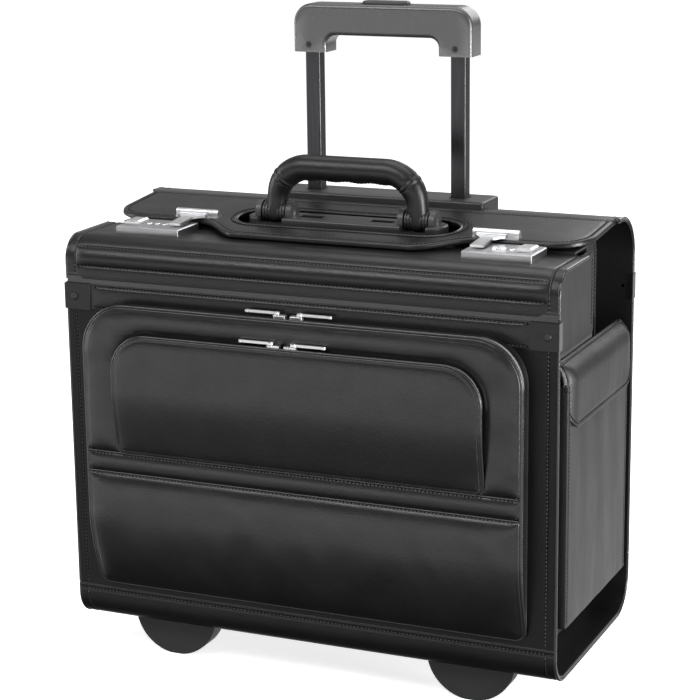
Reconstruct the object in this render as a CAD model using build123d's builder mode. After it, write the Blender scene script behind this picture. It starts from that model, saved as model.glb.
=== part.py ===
"""Rolling laptop case (wheeled pilot case), in millimetres.

+X is the case's right side, +Y its back and +Z up. The origin is on the ground, under the
middle of the whole object.
"""
from build123d import *
import os
from math import atan2, cos, sin

# ---- driving dimensions
# case
case_width = 470.0
case_depth = 218.0
case_height = 382.0
ground_clearance = 34.0
wall = 4.0
front_corner_radius = 25.0
back_corner_radius = 35.0
top_corner_radius = 40.0
front_seam_height = 35.0
back_seam_height = 54.0
fold_gap = 1.0
cut_past = 1.0

# front lid
front_lid_drop = 57.0
front_lid_step = 16.0
front_lid_reach = 80.0
front_lid_radius = 22.0

# rear lid
lid_wall = 5.0
rear_strip = 50.0
lid_fall = 10.0
lid_half_width = 232.0
tongue_setback = 40.0
shoulder_setback = 76.0
lid_corner_radius = 36.0
shoulder_half_width = 136.0
tongue_half_width = 84.0
slot_half_length = 108.0
slot_half_width = 29.0
slot_flat = 1.0

# side panels
side_recess = 35.0
wing_recess = 10.0
wing_drop = 94.0
wing_gap = 0.5
wing_corner_radius = 1.0
running_gap = 1.0

# side pockets
side_pocket_wall = 3.0
side_pocket_proud = 1.5
side_pocket_front = 20.0
side_pocket_back = 13.0
side_pocket_base = 46.0
side_pocket_mouth = 24.0
side_pocket_radius = 8.0
flap_wall = 2.5
flap_gap = 2.0
flap_length = 62.0
flap_slope = 12.0
flap_inset = 2.0
flap_radius = 24.0
flap_bevel = 1.0
flap_hinge_gap = 0.5
flap_hinge_drop = 2.0

# front pockets
pocket_wall = 2.0
main_pocket_half_width = 209.0
main_pocket_depth = 19.0
main_pocket_base = 41.0
main_pocket_drop = 15.0
main_pocket_radius = 42.0
small_pocket_half_width = 176.0
small_pocket_depth = 9.0
small_pocket_base = 173.0
small_pocket_drop = 24.0
small_pocket_radius = 35.0
pocket_base_radius = 10.0

# zip hardware
slider_length = 12.0
slider_width = 7.0
slider_height = 3.0
slider_offset = -8.0
slider_spacing = 16.0
slider_radius = 2.4
slider_edge = 1.0
post_offset = 3.0
post_radius = 1.2
post_height = 2.6
pull_length = 30.0
pull_radius = 1.1
ring_radius = 2.8
pull_gap = 0.3

# reinforcement strips, clips and rivets
strip_wall = 1.5
strip_height = 24.0
strip_drop = 1.0
clip_wall = 1.2
clip_width = 25.0
clip_return = 6.0
rivet_inset = 9.0
rivet_head_radius = 3.4
rivet_head_height = 1.6
rivet_shank_radius = 1.5

# carry handle
handle_setback = 102.0
handle_radius = 12.0
handle_half_span = 70.0
handle_lean = 5.0
handle_rise = 42.0
handle_bend = 30.0
pivot_pin_radius = 3.0
ear_thickness = 5.0
ear_gap = 0.5
ear_radius = 10.0
ear_sink = 8.5
ear_clearance = 20.0
barrel_gap = 1.0
base_half_length = 96.0
base_width = 35.0
base_height = 12.0
base_edge = 2.0
mouth_start = 24.0
mouth_end = 46.0
mouth_width = 10.0
mouth_depth = 6.0
frame_height = 15.0
frame_plate = 2.0
frame_top_drop = 15.0
pivot_rise = 15.0
pin_running = 0.05
knuckle_relief = 2.0
knuckle_reach = 10.0

# locks
lock_half_span = 168.0
lock_setback = 52.0
lock_length = 64.0
lock_width = 42.0
lock_height = 6.5
lock_corner_radius = 1.5
lock_bevel = 0.8
lock_pan_length = 34.0
lock_pan_width = 19.0
lock_pan_depth = 10.0
dial_radius = 7.0
dial_width = 4.0
dial_pitch = 8.0
dial_proud = 0.8
dial_gap = 0.5
dial_side_gap = 0.3
dial_bevel = 0.5
dial_digits = 10
dial_flat_radius = 0.6
dial_flat_proud = 0.25
spindle_radius = 1.5
spindle_inset = 1.0
slide_length = 14.0
slide_width = 20.0
slide_height = 3.5
slide_travel = 4.0
slide_offset = 21.0
slide_key = 6.0
slide_key_depth = 3.5
slide_gap = 0.3
slide_end_gap = 0.5
slide_bevel = 1.4

# hasps
hasp_half_span = 146.0
hasp_setback = 84.0
hasp_half_length = 14.0
hasp_barrel_radius = 3.0
hasp_pin_radius = 1.2
hasp_plate = 2.0
hasp_arm_width = 12.0
hasp_arm_reach = 40.0
hasp_gap = 0.4
hasp_root = 1.5
hasp_shoulder = 5.0
hasp_waist = 15.0
mount_plate = 1.2
mount_bracket = 11.0
lug_thickness = 3.0
mount_depth = 10.0
hasp_pin_inset = 1.0

# trolley
tube_half_span = 73.0
tube_inset = 20.5
tube_width = 15.0
tube_depth = 13.0
tube_wall = 1.2
tube_gap = 0.3
tube_floor = 30.0
tube_overlap = 8.0
tube_radius = 2.0
mid_tube_lift = 4.0
mid_tube_proud = 0.5
foot_reach = 18.0
foot_clearance = 4.0
foot_gap = 1.0
foot_plate = 6.0
grip_rise = 131.0
grip_half_width = 89.0
grip_leg = 33.0
grip_depth = 28.0
grip_arch = 16.0
grip_height = 45.0
grip_radius = 18.0
grip_arch_radius = 9.0
grip_edge = 4.0
grip_screw_radius = 3.0
grip_screw_head = 1.4
grip_screw_seat = 2.0
grip_screw_sink = 0.6
grip_shank_radius = 1.5
grip_screw_rise = 7.0
cross_length = 3.4
cross_width = 0.8
cross_depth = 1.3
button_half_length = 22.5
button_width = 16.0
button_proud = 3.0
button_travel = 3.0
button_height = 8.0
button_gap = 0.4
button_radius = 5.0
button_edge = 2.2
yoke_height = 3.0
yoke_width = 6.0
yoke_gap = 0.5
yoke_top_gap = 0.3
yoke_inset = 2.0
rod_radius = 2.0
bezel_half_length = 104.0
bezel_depth = 44.0
bezel_drop = 38.0
bezel_proud = 6.0
bezel_radius = 3.0
bezel_edge = 2.5
cover_wall = 3.0
cover_gap = 2.0
cover_clearance = 0.5

# wheels
wheel_radius = 38.0
wheel_width = 24.0
wheel_inset = 25.0
wheel_half_span = 165.0
hub_radius = 24.0
hub_inset = 2.0
hub_rim = 4.0
hub_dish = 5.0
hub_boss_radius = 7.0
hub_boss_proud = 1.0
hub_holes = 5
hub_hole_circle = 13.5
hub_hole_radius = 3.5
tyre_edge = 4.0
axle_radius = 3.0
axle_head_radius = 5.0
axle_head_height = 1.5
housing_wall = 2.5
housing_gap = 3.5
housing_inset = 1.0
cheek_radius = 12.0
cheek_lap = 8.0
cheek_drop = 2.0
axle_clearance = 2.0
axle_end_gap = 1.0

# front feet
foot_half_span = 148.0
foot_setback = 36.0
foot_radius = 42.0
foot_thickness = 20.0
foot_flat = 12.0
screw_radius = 2.0
screw_head_radius = 4.0
screw_head_height = 2.4
screw_bite = 10.0

# inside
board_wall = 3.0
board_gap = 1.0
divider_wall = 6.0

# ---- places worked out from the dimensions
front_reach = main_pocket_depth + small_pocket_depth
back_reach = wheel_radius - wheel_inset
case_front = (front_reach - back_reach - case_depth) / 2
case_back = case_front + case_depth
half_width = case_width / 2
case_bottom = ground_clearance
case_top = case_bottom + case_height

front_hinge_z = case_top - front_lid_drop
front_lid_top = case_top - front_lid_step
rear_hinge_y = case_back - rear_strip
lid_run = rear_hinge_y - case_front - tongue_setback
lid_tilt = atan2(lid_fall, lid_run)

panel_x = half_width - side_recess
wing_x = half_width - wing_recess
wing_z = case_top - wing_drop
handle_y = case_front + handle_setback
wing_back = handle_y + base_width / 2 + wing_gap + wall
side_roof = case_top - lid_wall - (rear_hinge_y - wing_back + wall) * lid_fall / lid_run

frame_top = case_top - frame_top_drop
pivot_z = frame_top + pivot_rise

lock_y = case_front + lock_setback
lock_top = front_lid_top + lock_height
dial_z = lock_top + dial_proud - dial_radius

tube_y = case_back - tube_inset
bezel_top = case_top + bezel_proud
bezel_under = case_top - bezel_drop
grip_bottom = bezel_top + grip_rise
grip_top = grip_bottom + grip_height
button_floor = grip_top + button_proud - button_height
cavity_floor = button_floor - yoke_height - button_travel - yoke_gap

wheel_y = case_back - wheel_inset
wheel_z = wheel_radius
housing_half = wheel_width / 2 + housing_gap + housing_wall
housing_front = wheel_y - wheel_radius - housing_gap - housing_wall
housing_top = wheel_z + wheel_radius + housing_gap + housing_wall
cover_front = rear_hinge_y + cover_gap

main_pocket_top = front_hinge_z - main_pocket_drop
small_pocket_top = main_pocket_top - small_pocket_drop
strip_top = front_hinge_z - strip_drop
strip_bottom = strip_top - strip_height
rivet_z = (strip_top + strip_bottom) / 2
floor_z = case_bottom + wall
board_top = floor_z + board_wall
flap_pivot_x = wing_x + flap_hinge_gap
flap_pivot_z = wing_z - flap_hinge_drop
side_pocket_x = half_width + side_pocket_proud
side_pocket_top = wing_z - side_pocket_mouth
flap_outer_x = side_pocket_x + flap_gap + flap_wall
# ---- end of the dimensions

os.makedirs("parts", exist_ok=True)
SIDES = {"left": -1, "right": 1}


def save(builder, name):
    """Label a finished piece and write its STEP file."""
    builder.part.label = name
    export_step(builder.part, f"parts/{name}.step")


def block(x_range, y_range, z_range, mode=Mode.ADD):
    """Box between two limits on each axis, in the active part."""
    middle = [sum(r) / 2 for r in (x_range, y_range, z_range)]
    size = [max(r) - min(r) for r in (x_range, y_range, z_range)]
    with Locations(tuple(middle)):
        Box(*size, mode=mode)


def rod(centre, radius, length, turn=(0, 0, 0), mode=Mode.ADD):
    """Cylinder about a centre, turned from +Z, in the active part."""
    with Locations(centre):
        Cylinder(radius, length, rotation=turn, mode=mode)


ALONG_X = (0, 90, 0)
ALONG_Y = (90, 0, 0)


def yz(x):
    """Side-view plane at x, which extrudes towards +X."""
    return Plane.YZ.offset(x)


def xz(y):
    """Front-view plane at y, which extrudes towards -Y."""
    return Plane.XZ.offset(-y)


def bent_wall(corners, radii, thickness, side):
    """Closed side-view face of a bent sheet."""
    with BuildSketch(Plane.XY) as face:
        with BuildLine():
            FilletPolyline(*corners, radius=radii)
            offset(amount=thickness, side=side)
        make_face()
    return face.sketch


# ---- the wrap: front, bottom and back walls of the case
def rivet_bores(y_range):
    """Shank holes of the clips' rivets, at both ends of a strip."""
    for s in SIDES.values():
        centre = (s * (half_width - rivet_inset), sum(y_range) / 2, rivet_z)
        rod(centre, rivet_shank_radius, y_range[1] - y_range[0], ALONG_Y, Mode.SUBTRACT)


def foot_screw_bores(z_range):
    """Screw holes over the two front feet."""
    for s in SIDES.values():
        centre = (s * foot_half_span, case_front + foot_setback, sum(z_range) / 2)
        rod(centre, screw_radius, z_range[1] - z_range[0], mode=Mode.SUBTRACT)


def wheel_notches(grow=0.0):
    """Room for the two wheel housings."""
    for s in SIDES.values():
        half = housing_half + grow
        x_range = (s * wheel_half_span - half, s * wheel_half_span + half)
        y_range = (housing_front - grow, case_back + cut_past)
        block(x_range, y_range, (0, housing_top + grow), Mode.SUBTRACT)


with BuildPart() as front_panel:
    block(
        (-half_width, half_width),
        (case_front, case_front + wall),
        (case_bottom + front_seam_height, front_hinge_z),
    )
    rivet_bores((case_front, case_front + wall))
save(front_panel, "front_panel")

with BuildPart() as bottom_panel:
    with BuildSketch(yz(-half_width)):
        add(
            bent_wall(
                [
                    (case_front, case_bottom + front_seam_height),
                    (case_front, case_bottom),
                    (case_back, case_bottom),
                    (case_back, case_bottom + back_seam_height),
                ],
                [front_corner_radius, back_corner_radius],
                wall,
                Side.LEFT,
            )
        )
    extrude(amount=case_width)
    wheel_notches()
    for s in SIDES.values():
        half = housing_half + axle_head_height + axle_end_gap
        x_range = (s * wheel_half_span - half, s * wheel_half_span + half)
        reach = axle_head_radius + axle_clearance
        block(x_range, (wheel_y - reach, wheel_y + reach), (0, housing_top), Mode.SUBTRACT)
    foot_screw_bores((case_bottom, floor_z))
save(bottom_panel, "bottom_panel")

with BuildPart() as back_panel:
    with BuildSketch(yz(-half_width)):
        add(
            bent_wall(
                [
                    (case_back, case_bottom + back_seam_height),
                    (case_back, case_top),
                    (rear_hinge_y, case_top),
                ],
                [top_corner_radius],
                wall,
                Side.LEFT,
            )
        )
    extrude(amount=case_width)
    block(
        (-bezel_half_length, bezel_half_length),
        (case_back - bezel_depth, case_back + cut_past),
        (bezel_under, case_top + cut_past),
        Mode.SUBTRACT,
    )
    rivet_bores((case_back - wall, case_back))
save(back_panel, "back_panel")

# outer faces of the two strips, as (face, direction out of the case)
FACES = ((case_front, -1), (case_back, 1))


def span(start, direction, thickness):
    """Range that leaves start in a direction."""
    return sorted((start, start + direction * thickness))


with BuildPart() as reinforcement_strips:
    for face, out in FACES:
        depth = span(face, out, strip_wall)
        block((-half_width, half_width), depth, (strip_bottom, strip_top))
        rivet_bores(depth)
save(reinforcement_strips, "reinforcement_strips")

with BuildPart() as corner_clips:
    for face, out in FACES:
        outside = face + out * strip_wall
        plate = span(outside, out, clip_wall)
        for s in SIDES.values():
            edge = s * half_width
            inner = edge - s * clip_width
            block(sorted((inner, edge + s * clip_wall)), plate, (strip_bottom, strip_top))
            leg = sorted((outside, face - out * clip_return))
            block(sorted((edge, edge + s * clip_wall)), leg, (strip_bottom, strip_top))
        rivet_bores(plate)
save(corner_clips, "corner_clips")

with BuildPart() as clip_rivets:
    for face, out in FACES:
        outside = face + out * (strip_wall + clip_wall)
        shank = span(outside, -out, strip_wall + clip_wall + wall)
        head = span(outside, out, rivet_head_height)
        for s in SIDES.values():
            x = s * (half_width - rivet_inset)
            rod((x, sum(shank) / 2, rivet_z), rivet_shank_radius, shank[1] - shank[0], ALONG_Y)
            rod((x, sum(head) / 2, rivet_z), rivet_head_radius, rivet_head_height, ALONG_Y)
    heads = clip_rivets.edges().filter_by(GeomType.CIRCLE)
    rims = heads.filter_by(lambda e: abs(e.radius - rivet_head_radius) < 0.01)
    outermost = (case_front - strip_wall - clip_wall, case_back + strip_wall + clip_wall)
    far = [e for e in rims if not outermost[0] - 0.1 < e.center().Y < outermost[1] + 0.1]
    fillet(far, rivet_head_height * 0.8)
save(clip_rivets, "clip_rivets")


# ---- side panels, with a wing that closes the side under the front lid
def side_panel(s):
    """Recessed side wall, its shelf and its upper wing, on the side s."""
    plate_start = min(s * (panel_x - wall), s * panel_x)
    wing_start = min(s * (wing_x - wall), s * wing_x)
    inner_front = case_front + wall
    inner_back = case_back - wall
    roof = side_roof - running_gap
    lid_floor = front_lid_top - wall - running_gap
    with BuildPart() as panel:
        with BuildSketch(yz(plate_start)):
            with BuildLine():
                FilletPolyline(
                    (inner_front, wing_z),
                    (inner_front, floor_z),
                    (inner_back, floor_z),
                    (inner_back, roof),
                    (wing_back - wall, roof),
                    (wing_back - wall, wing_z),
                    radius=[
                        front_corner_radius - wall,
                        back_corner_radius - wall,
                        top_corner_radius - wall,
                        wing_corner_radius,
                    ],
                )
                Line((wing_back - wall, wing_z), (inner_front, wing_z))
            make_face()
        extrude(amount=wall)
        shelf = sorted((s * (panel_x - wall), s * wing_x))
        block(shelf, (inner_front, wing_back), (wing_z - wall, wing_z))
        block(shelf, (wing_back - wall, wing_back), (wing_z - wall, lid_floor))
        with BuildSketch(yz(wing_start)):
            with BuildLine():
                FilletPolyline(
                    (wing_back, wing_z - wall),
                    (inner_front + running_gap, wing_z - wall),
                    (inner_front + running_gap, lid_floor),
                    (wing_back, lid_floor),
                    radius=[wing_corner_radius, front_lid_radius - wall],
                )
                Line((wing_back, lid_floor), (wing_back, wing_z - wall))
            make_face()
        extrude(amount=wall)
    return panel


def both_sides(make):
    """One node of two mirrored pieces."""
    pieces = [make(s).part for s in SIDES.values()]
    with BuildPart() as pair:
        for piece in pieces:
            add(piece)
    return pair


save(both_sides(side_panel), "side_panels")


# ---- side pockets and their flaps
def side_pocket(s):
    """Pocket that fills the recess: open towards the side panel and at its top."""
    front = case_front + side_pocket_front
    back = case_back - side_pocket_back
    base = case_bottom + side_pocket_base
    with BuildPart() as pocket:
        block(sorted((s * panel_x, s * side_pocket_x)), (front, back), (base, side_pocket_top))
        upright = pocket.edges().filter_by(Axis.Z)
        outer = [e for e in upright if abs(e.center().X) > (panel_x + side_pocket_x) / 2]
        fillet(outer, side_pocket_radius)
        block(
            sorted((s * panel_x, s * (side_pocket_x - side_pocket_wall))),
            (front + side_pocket_wall, back - side_pocket_wall),
            (base + side_pocket_wall, side_pocket_top),
            Mode.SUBTRACT,
        )
    return pocket


def pocket_flap(s):
    """Flap hinged under the wing, sloping out and hanging over the pocket's mouth."""
    front = case_front + side_pocket_front + flap_inset
    length = case_depth - side_pocket_front - side_pocket_back - 2 * flap_inset
    drop_z = flap_pivot_z - flap_slope
    with BuildPart() as flap:
        with BuildSketch(xz(front + length)):
            with BuildLine():
                Polyline(
                    (s * flap_pivot_x, flap_pivot_z),
                    (s * flap_outer_x, drop_z),
                    (s * flap_outer_x, flap_pivot_z - flap_length),
                    (s * (flap_outer_x - flap_wall), flap_pivot_z - flap_length),
                    (s * (flap_outer_x - flap_wall), drop_z - flap_bevel),
                    (s * flap_pivot_x, flap_pivot_z - flap_wall),
                    close=True,
                )
            make_face()
        extrude(amount=length)
        lower = flap.edges().filter_by(Axis.X).group_by(Axis.Z)[0]
        fillet(lower, flap_radius)
    return flap


save(both_sides(side_pocket), "side_pockets")
for side, s in SIDES.items():
    save(pocket_flap(s), f"pocket_flap_{side}")


# ---- front pockets
def pocket_face(y, half, base, top, radius, inset=0.0):
    """Front-view outline of a pocket with two large top corners."""
    height = top - base - 2 * inset
    with BuildSketch(xz(y)) as face:
        with Locations((0, base + inset + height / 2)):
            Rectangle(2 * (half - inset), height)
        fillet(face.vertices().group_by(Axis.Y)[-1], radius - inset)
        fillet(face.vertices().group_by(Axis.Y)[0], pocket_base_radius - inset)
    return face.sketch


def front_pocket(y, depth, half, base, top, radius):
    """Shallow pocket shell, open towards the wall that it is sewn to."""
    with BuildPart() as pocket:
        extrude(pocket_face(y, half, base, top, radius), amount=depth)
        inner = pocket_face(y, half, base, top, radius, pocket_wall)
        extrude(inner, amount=depth - pocket_wall, mode=Mode.SUBTRACT)
        if top > strip_bottom and y == case_front:
            block((-half, half), (y - strip_wall, y), (strip_bottom, strip_top), Mode.SUBTRACT)
    return pocket


small_pocket_y = case_front - main_pocket_depth
save(
    front_pocket(
        case_front,
        main_pocket_depth,
        main_pocket_half_width,
        case_bottom + main_pocket_base,
        main_pocket_top,
        main_pocket_radius,
    ),
    "front_pocket",
)
save(
    front_pocket(
        small_pocket_y,
        small_pocket_depth,
        small_pocket_half_width,
        case_bottom + small_pocket_base,
        small_pocket_top,
        small_pocket_radius,
    ),
    "accessory_pocket",
)


# ---- zip sliders and pulls
def zip_slider(x, y, z, s):
    """Slider body with the post that its pull turns on."""
    with BuildPart() as slider:
        block(
            (x - slider_length / 2, x + slider_length / 2),
            (y - slider_width / 2, y + slider_width / 2),
            (z, z + slider_height),
        )
        fillet(slider.edges().filter_by(Axis.Z), slider_radius)
        fillet(slider.faces().sort_by(Axis.Z)[-1].edges(), slider_edge)
        post = (x + s * post_offset, y, z + slider_height + post_height / 2)
        rod(post, post_radius, post_height)
    return slider


def zip_pull(x, y, z, s):
    """Flat pull lying outwards: ring on the slider's post, thin stem and rounded end."""
    ring_x = x + s * post_offset
    stem = pull_length - pull_radius
    with BuildPart() as pull:
        with BuildSketch(Plane.XY.offset(z + slider_height + pull_gap)):
            with Locations((ring_x, y)):
                Circle(ring_radius)
            with Locations((ring_x + s * stem / 2, y)):
                Rectangle(stem, 2 * pull_radius)
            with Locations((ring_x + s * stem, y)):
                Circle(1.5 * pull_radius)
            with Locations((ring_x, y)):
                Circle(post_radius + pin_running, mode=Mode.SUBTRACT)
        extrude(amount=2 * pull_radius)
    return pull


ZIPS = {
    "main": (case_front - main_pocket_depth / 2, main_pocket_top),
    "accessory": (small_pocket_y - small_pocket_depth / 2, small_pocket_top),
}
for zip_name, (y, z) in ZIPS.items():
    for side, s in SIDES.items():
        x = slider_offset + s * slider_spacing / 2
        save(zip_slider(x, y, z, s), f"{zip_name}_zip_slider_{side}")
        save(zip_pull(x, y, z, s), f"{zip_name}_zip_pull_{side}")

# ---- front lid
pan_floor = front_lid_top - lock_pan_depth
with BuildPart() as front_lid:
    with BuildSketch(yz(-half_width)):
        add(
            bent_wall(
                [
                    (case_front, front_hinge_z + fold_gap),
                    (case_front, front_lid_top),
                    (case_front + front_lid_reach, front_lid_top),
                ],
                [front_lid_radius],
                wall,
                Side.RIGHT,
            )
        )
    extrude(amount=case_width)
    for s in SIDES.values():
        block(
            (s * lock_half_span - lock_pan_length / 2, s * lock_half_span + lock_pan_length / 2),
            (lock_y - lock_pan_width / 2, lock_y + lock_pan_width / 2),
            (front_lid_top - wall - cut_past, front_lid_top + cut_past),
            Mode.SUBTRACT,
        )
save(front_lid, "front_lid")


# ---- combination locks
def dial_places(s):
    """X of the three dials of the lock on side s."""
    return [s * lock_half_span + step * dial_pitch for step in (-1, 0, 1)]


def lock_body(s):
    """Cover plate and pan of a lock, with its dial windows, spindle and slide slot."""
    middle = s * lock_half_span
    with BuildPart() as body:
        block(
            (middle - lock_length / 2, middle + lock_length / 2),
            (lock_y - lock_width / 2, lock_y + lock_width / 2),
            (front_lid_top, lock_top),
        )
        fillet(body.edges().filter_by(Axis.Z), lock_corner_radius)
        chamfer(body.faces().sort_by(Axis.Z)[-1].edges(), lock_bevel)
        block(
            (middle - lock_pan_length / 2, middle + lock_pan_length / 2),
            (lock_y - lock_pan_width / 2, lock_y + lock_pan_width / 2),
            (pan_floor, front_lid_top),
        )
        for x in dial_places(s):
            window = dial_width + 2 * dial_side_gap
            place = (x, lock_y, dial_z)
            rod(place, dial_radius + dial_gap, window, ALONG_X, Mode.SUBTRACT)
        spindle_length = lock_pan_length - 2 * spindle_inset
        rod((middle, lock_y, dial_z), spindle_radius, spindle_length, ALONG_X)
        slot_middle = middle + s * (slide_offset + slide_travel / 2)
        slot_half = (slide_key + slide_travel) / 2 + slide_end_gap
        block(
            (slot_middle - slot_half, slot_middle + slot_half),
            (lock_y - slide_key / 2 - slide_gap, lock_y + slide_key / 2 + slide_gap),
            (lock_top - slide_key_depth - slide_end_gap, lock_top + cut_past),
            Mode.SUBTRACT,
        )
    return body


def lock_slide(s):
    """Release slide: a bevelled block with a key that runs in the lock's slot."""
    middle = s * (lock_half_span + slide_offset)
    base = lock_top + slide_gap
    with BuildPart() as slide:
        block(
            (middle - slide_length / 2, middle + slide_length / 2),
            (lock_y - slide_width / 2, lock_y + slide_width / 2),
            (base, base + slide_height),
        )
        chamfer(slide.faces().sort_by(Axis.Z)[-1].edges(), slide_bevel)
        block(
            (middle - slide_key / 2, middle + slide_key / 2),
            (lock_y - slide_key / 2, lock_y + slide_key / 2),
            (lock_top - slide_key_depth, base),
        )
    return slide


def lock_dial(x):
    """Number dial with finger flats around its rim."""
    with BuildPart() as dial:
        rod((x, lock_y, dial_z), dial_radius, dial_width, ALONG_X)
        chamfer(dial.edges().filter_by(GeomType.CIRCLE), dial_bevel)
        with BuildSketch(yz(x - dial_width / 2)):
            with Locations((lock_y, dial_z)):
                with PolarLocations(dial_radius + dial_flat_proud, dial_digits):
                    Circle(dial_flat_radius)
        extrude(amount=dial_width, mode=Mode.SUBTRACT)
        bore = spindle_radius + pin_running
        rod((x, lock_y, dial_z), bore, dial_width, ALONG_X, Mode.SUBTRACT)
    return dial


for side, s in SIDES.items():
    save(lock_body(s), f"lock_body_{side}")
    save(lock_slide(s), f"lock_slide_{side}")
    for number, x in enumerate(dial_places(s), 1):
        save(lock_dial(x), f"lock_dial_{side}_{number}")

# ---- rear lid, a flat plate that falls a little towards its front edge
lid_plane = Plane(
    origin=(0, rear_hinge_y, case_top),
    x_dir=(1, 0, 0),
    z_dir=(0, -sin(lid_tilt), cos(lid_tilt)),
)


def on_lid(y):
    """Distance along the lid from its hinge line, for a place y of the case."""
    return (y - rear_hinge_y) / cos(lid_tilt)


shoulder = on_lid(case_front + shoulder_setback)
tongue = on_lid(case_front + tongue_setback)
with BuildPart() as rear_lid:
    with BuildSketch(lid_plane.offset(-lid_wall)) as lid_outline:
        with BuildLine():
            side_end = (lid_half_width, shoulder + lid_corner_radius)
            corner_end = (lid_half_width - lid_corner_radius, shoulder)
            Line((0, -fold_gap), (lid_half_width, -fold_gap))
            Line((lid_half_width, -fold_gap), side_end)
            RadiusArc(side_end, corner_end, lid_corner_radius)
            Line(corner_end, (shoulder_half_width, shoulder))
            Spline(
                (shoulder_half_width, shoulder),
                (tongue_half_width, tongue),
                tangents=((-1, 0), (-1, 0)),
            )
            Line((tongue_half_width, tongue), (0, tongue))
            mirror(about=Plane.YZ)
        make_face()
        with Locations((0, on_lid(handle_y))):
            slot = (2 * slot_half_length, 2 * slot_half_width)
            RectangleRounded(*slot, slot_half_width - slot_flat, mode=Mode.SUBTRACT)
    extrude(amount=lid_wall)
save(rear_lid, "rear_lid")

# ---- hasps
hasp_local_y = on_lid(case_front + hasp_setback)
barrel_lift = mount_plate + hasp_barrel_radius + hasp_gap
hasp_floor = barrel_lift - hasp_barrel_radius


def lid_point(x, y, lift):
    """Case position of a place on the rear lid."""
    return lid_plane.from_local_coords(Vector(x, y, lift))


def lid_rod(x, length, radius, mode=Mode.ADD):
    """Cylinder along X on the hasps' hinge line."""
    rod(tuple(lid_point(x, hasp_local_y, barrel_lift)), radius, length, ALONG_X, mode)


with BuildPart() as hasp_mounts:
    for s in SIDES.values():
        x = s * hasp_half_span
        left = x - hasp_half_length - hasp_gap - lug_thickness
        right = x + hasp_half_length + hasp_gap + mount_bracket
        with BuildSketch(lid_plane):
            with Locations(((left + right) / 2, hasp_local_y)):
                Rectangle(right - left, mount_depth)
        extrude(amount=mount_plate)
        for low, high in (
            (left, left + lug_thickness),
            (right - mount_bracket, right),
        ):
            with BuildSketch(lid_plane.offset(mount_plate)):
                with Locations(((low + high) / 2, hasp_local_y)):
                    Rectangle(high - low, 2 * hasp_barrel_radius)
            extrude(amount=hasp_barrel_radius + hasp_gap)
            lid_rod((low + high) / 2, high - low, hasp_barrel_radius)
        pin_length = right - left - 2 * hasp_pin_inset
        lid_rod((left + right) / 2, pin_length, hasp_pin_radius)
save(hasp_mounts, "hasp_mounts")


def hasp(s):
    """Barrel, tapering plate and arm that lies over the lock's inner end."""
    x = s * hasp_half_span
    root = hasp_local_y - hasp_root
    shoulder_y = root - hasp_shoulder
    waist = hasp_local_y - hasp_waist
    tip = hasp_local_y - hasp_arm_reach
    half_arm = hasp_arm_width / 2
    with BuildPart() as arm:
        with BuildSketch(lid_plane.offset(hasp_floor)):
            with BuildLine():
                Polyline(
                    (x - hasp_half_length, root),
                    (x - hasp_half_length, shoulder_y),
                    (x - half_arm, waist),
                    (x - half_arm, tip),
                    (x + half_arm, tip),
                    (x + half_arm, waist),
                    (x + hasp_half_length, shoulder_y),
                    (x + hasp_half_length, root),
                    close=True,
                )
            make_face()
        extrude(amount=hasp_plate)
        lid_rod(x, 2 * hasp_half_length, hasp_barrel_radius)
        bore = hasp_pin_radius + pin_running
        lid_rod(x, 2 * hasp_half_length, bore, Mode.SUBTRACT)
    return arm


for side, s in SIDES.items():
    save(hasp(s), f"hasp_{side}")

# ---- steel bridge under the lids, handle base and carry handle
base_top = frame_top + base_height
leg_half = handle_radius + ear_gap
with BuildPart() as handle_frame:
    y_range = (handle_y - base_width / 2, handle_y + base_width / 2)
    reach = wing_x - wall
    block((-reach, reach), y_range, (frame_top - frame_height, frame_top))
    block(
        (-reach, reach),
        (y_range[0] + frame_plate, y_range[1] - frame_plate),
        (frame_top - frame_height, frame_top - frame_plate),
        Mode.SUBTRACT,
    )
save(handle_frame, "handle_frame")

with BuildPart() as handle_base:
    block((-base_half_length, base_half_length), y_range, (frame_top, base_top))
    fillet(handle_base.edges().filter_by(Axis.Z), base_width / 2 - base_edge)
    fillet(handle_base.faces().sort_by(Axis.Z)[-1].edges(), base_edge)
    for s in SIDES.values():
        leg_x = s * handle_half_span
        for end in (-1, 1):
            inner = leg_x + end * leg_half
            x_range = sorted((inner, inner + end * ear_thickness))
            ear_y = (handle_y - ear_radius, handle_y + ear_radius)
            block(x_range, ear_y, (frame_top, pivot_z))
            rod((sum(x_range) / 2, handle_y, pivot_z), ear_radius, ear_thickness, ALONG_X)
        gap = (leg_x - leg_half, leg_x + leg_half)
        block(gap, y_range, (pivot_z - ear_sink, pivot_z + ear_clearance), Mode.SUBTRACT)
        seat = (leg_x, handle_y, pivot_z)
        rod(seat, handle_radius + barrel_gap, 2 * leg_half, ALONG_X, Mode.SUBTRACT)
        pin_length = 2 * (leg_half + ear_thickness)
        rod(seat, pivot_pin_radius, pin_length, ALONG_X, Mode.SUBTRACT)
    for s in SIDES.values():
        mouth = sorted((s * mouth_start, s * mouth_end))
        mouth_y = (handle_y - mouth_width / 2, handle_y + mouth_width / 2)
        block(mouth, mouth_y, (base_top - mouth_depth, base_top), Mode.SUBTRACT)
save(handle_base, "handle_base")

with BuildPart() as handle_pins:
    for s in SIDES.values():
        place = (s * handle_half_span, handle_y, pivot_z)
        rod(place, pivot_pin_radius, 2 * (leg_half + ear_thickness), ALONG_X)
save(handle_pins, "handle_pins")

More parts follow.
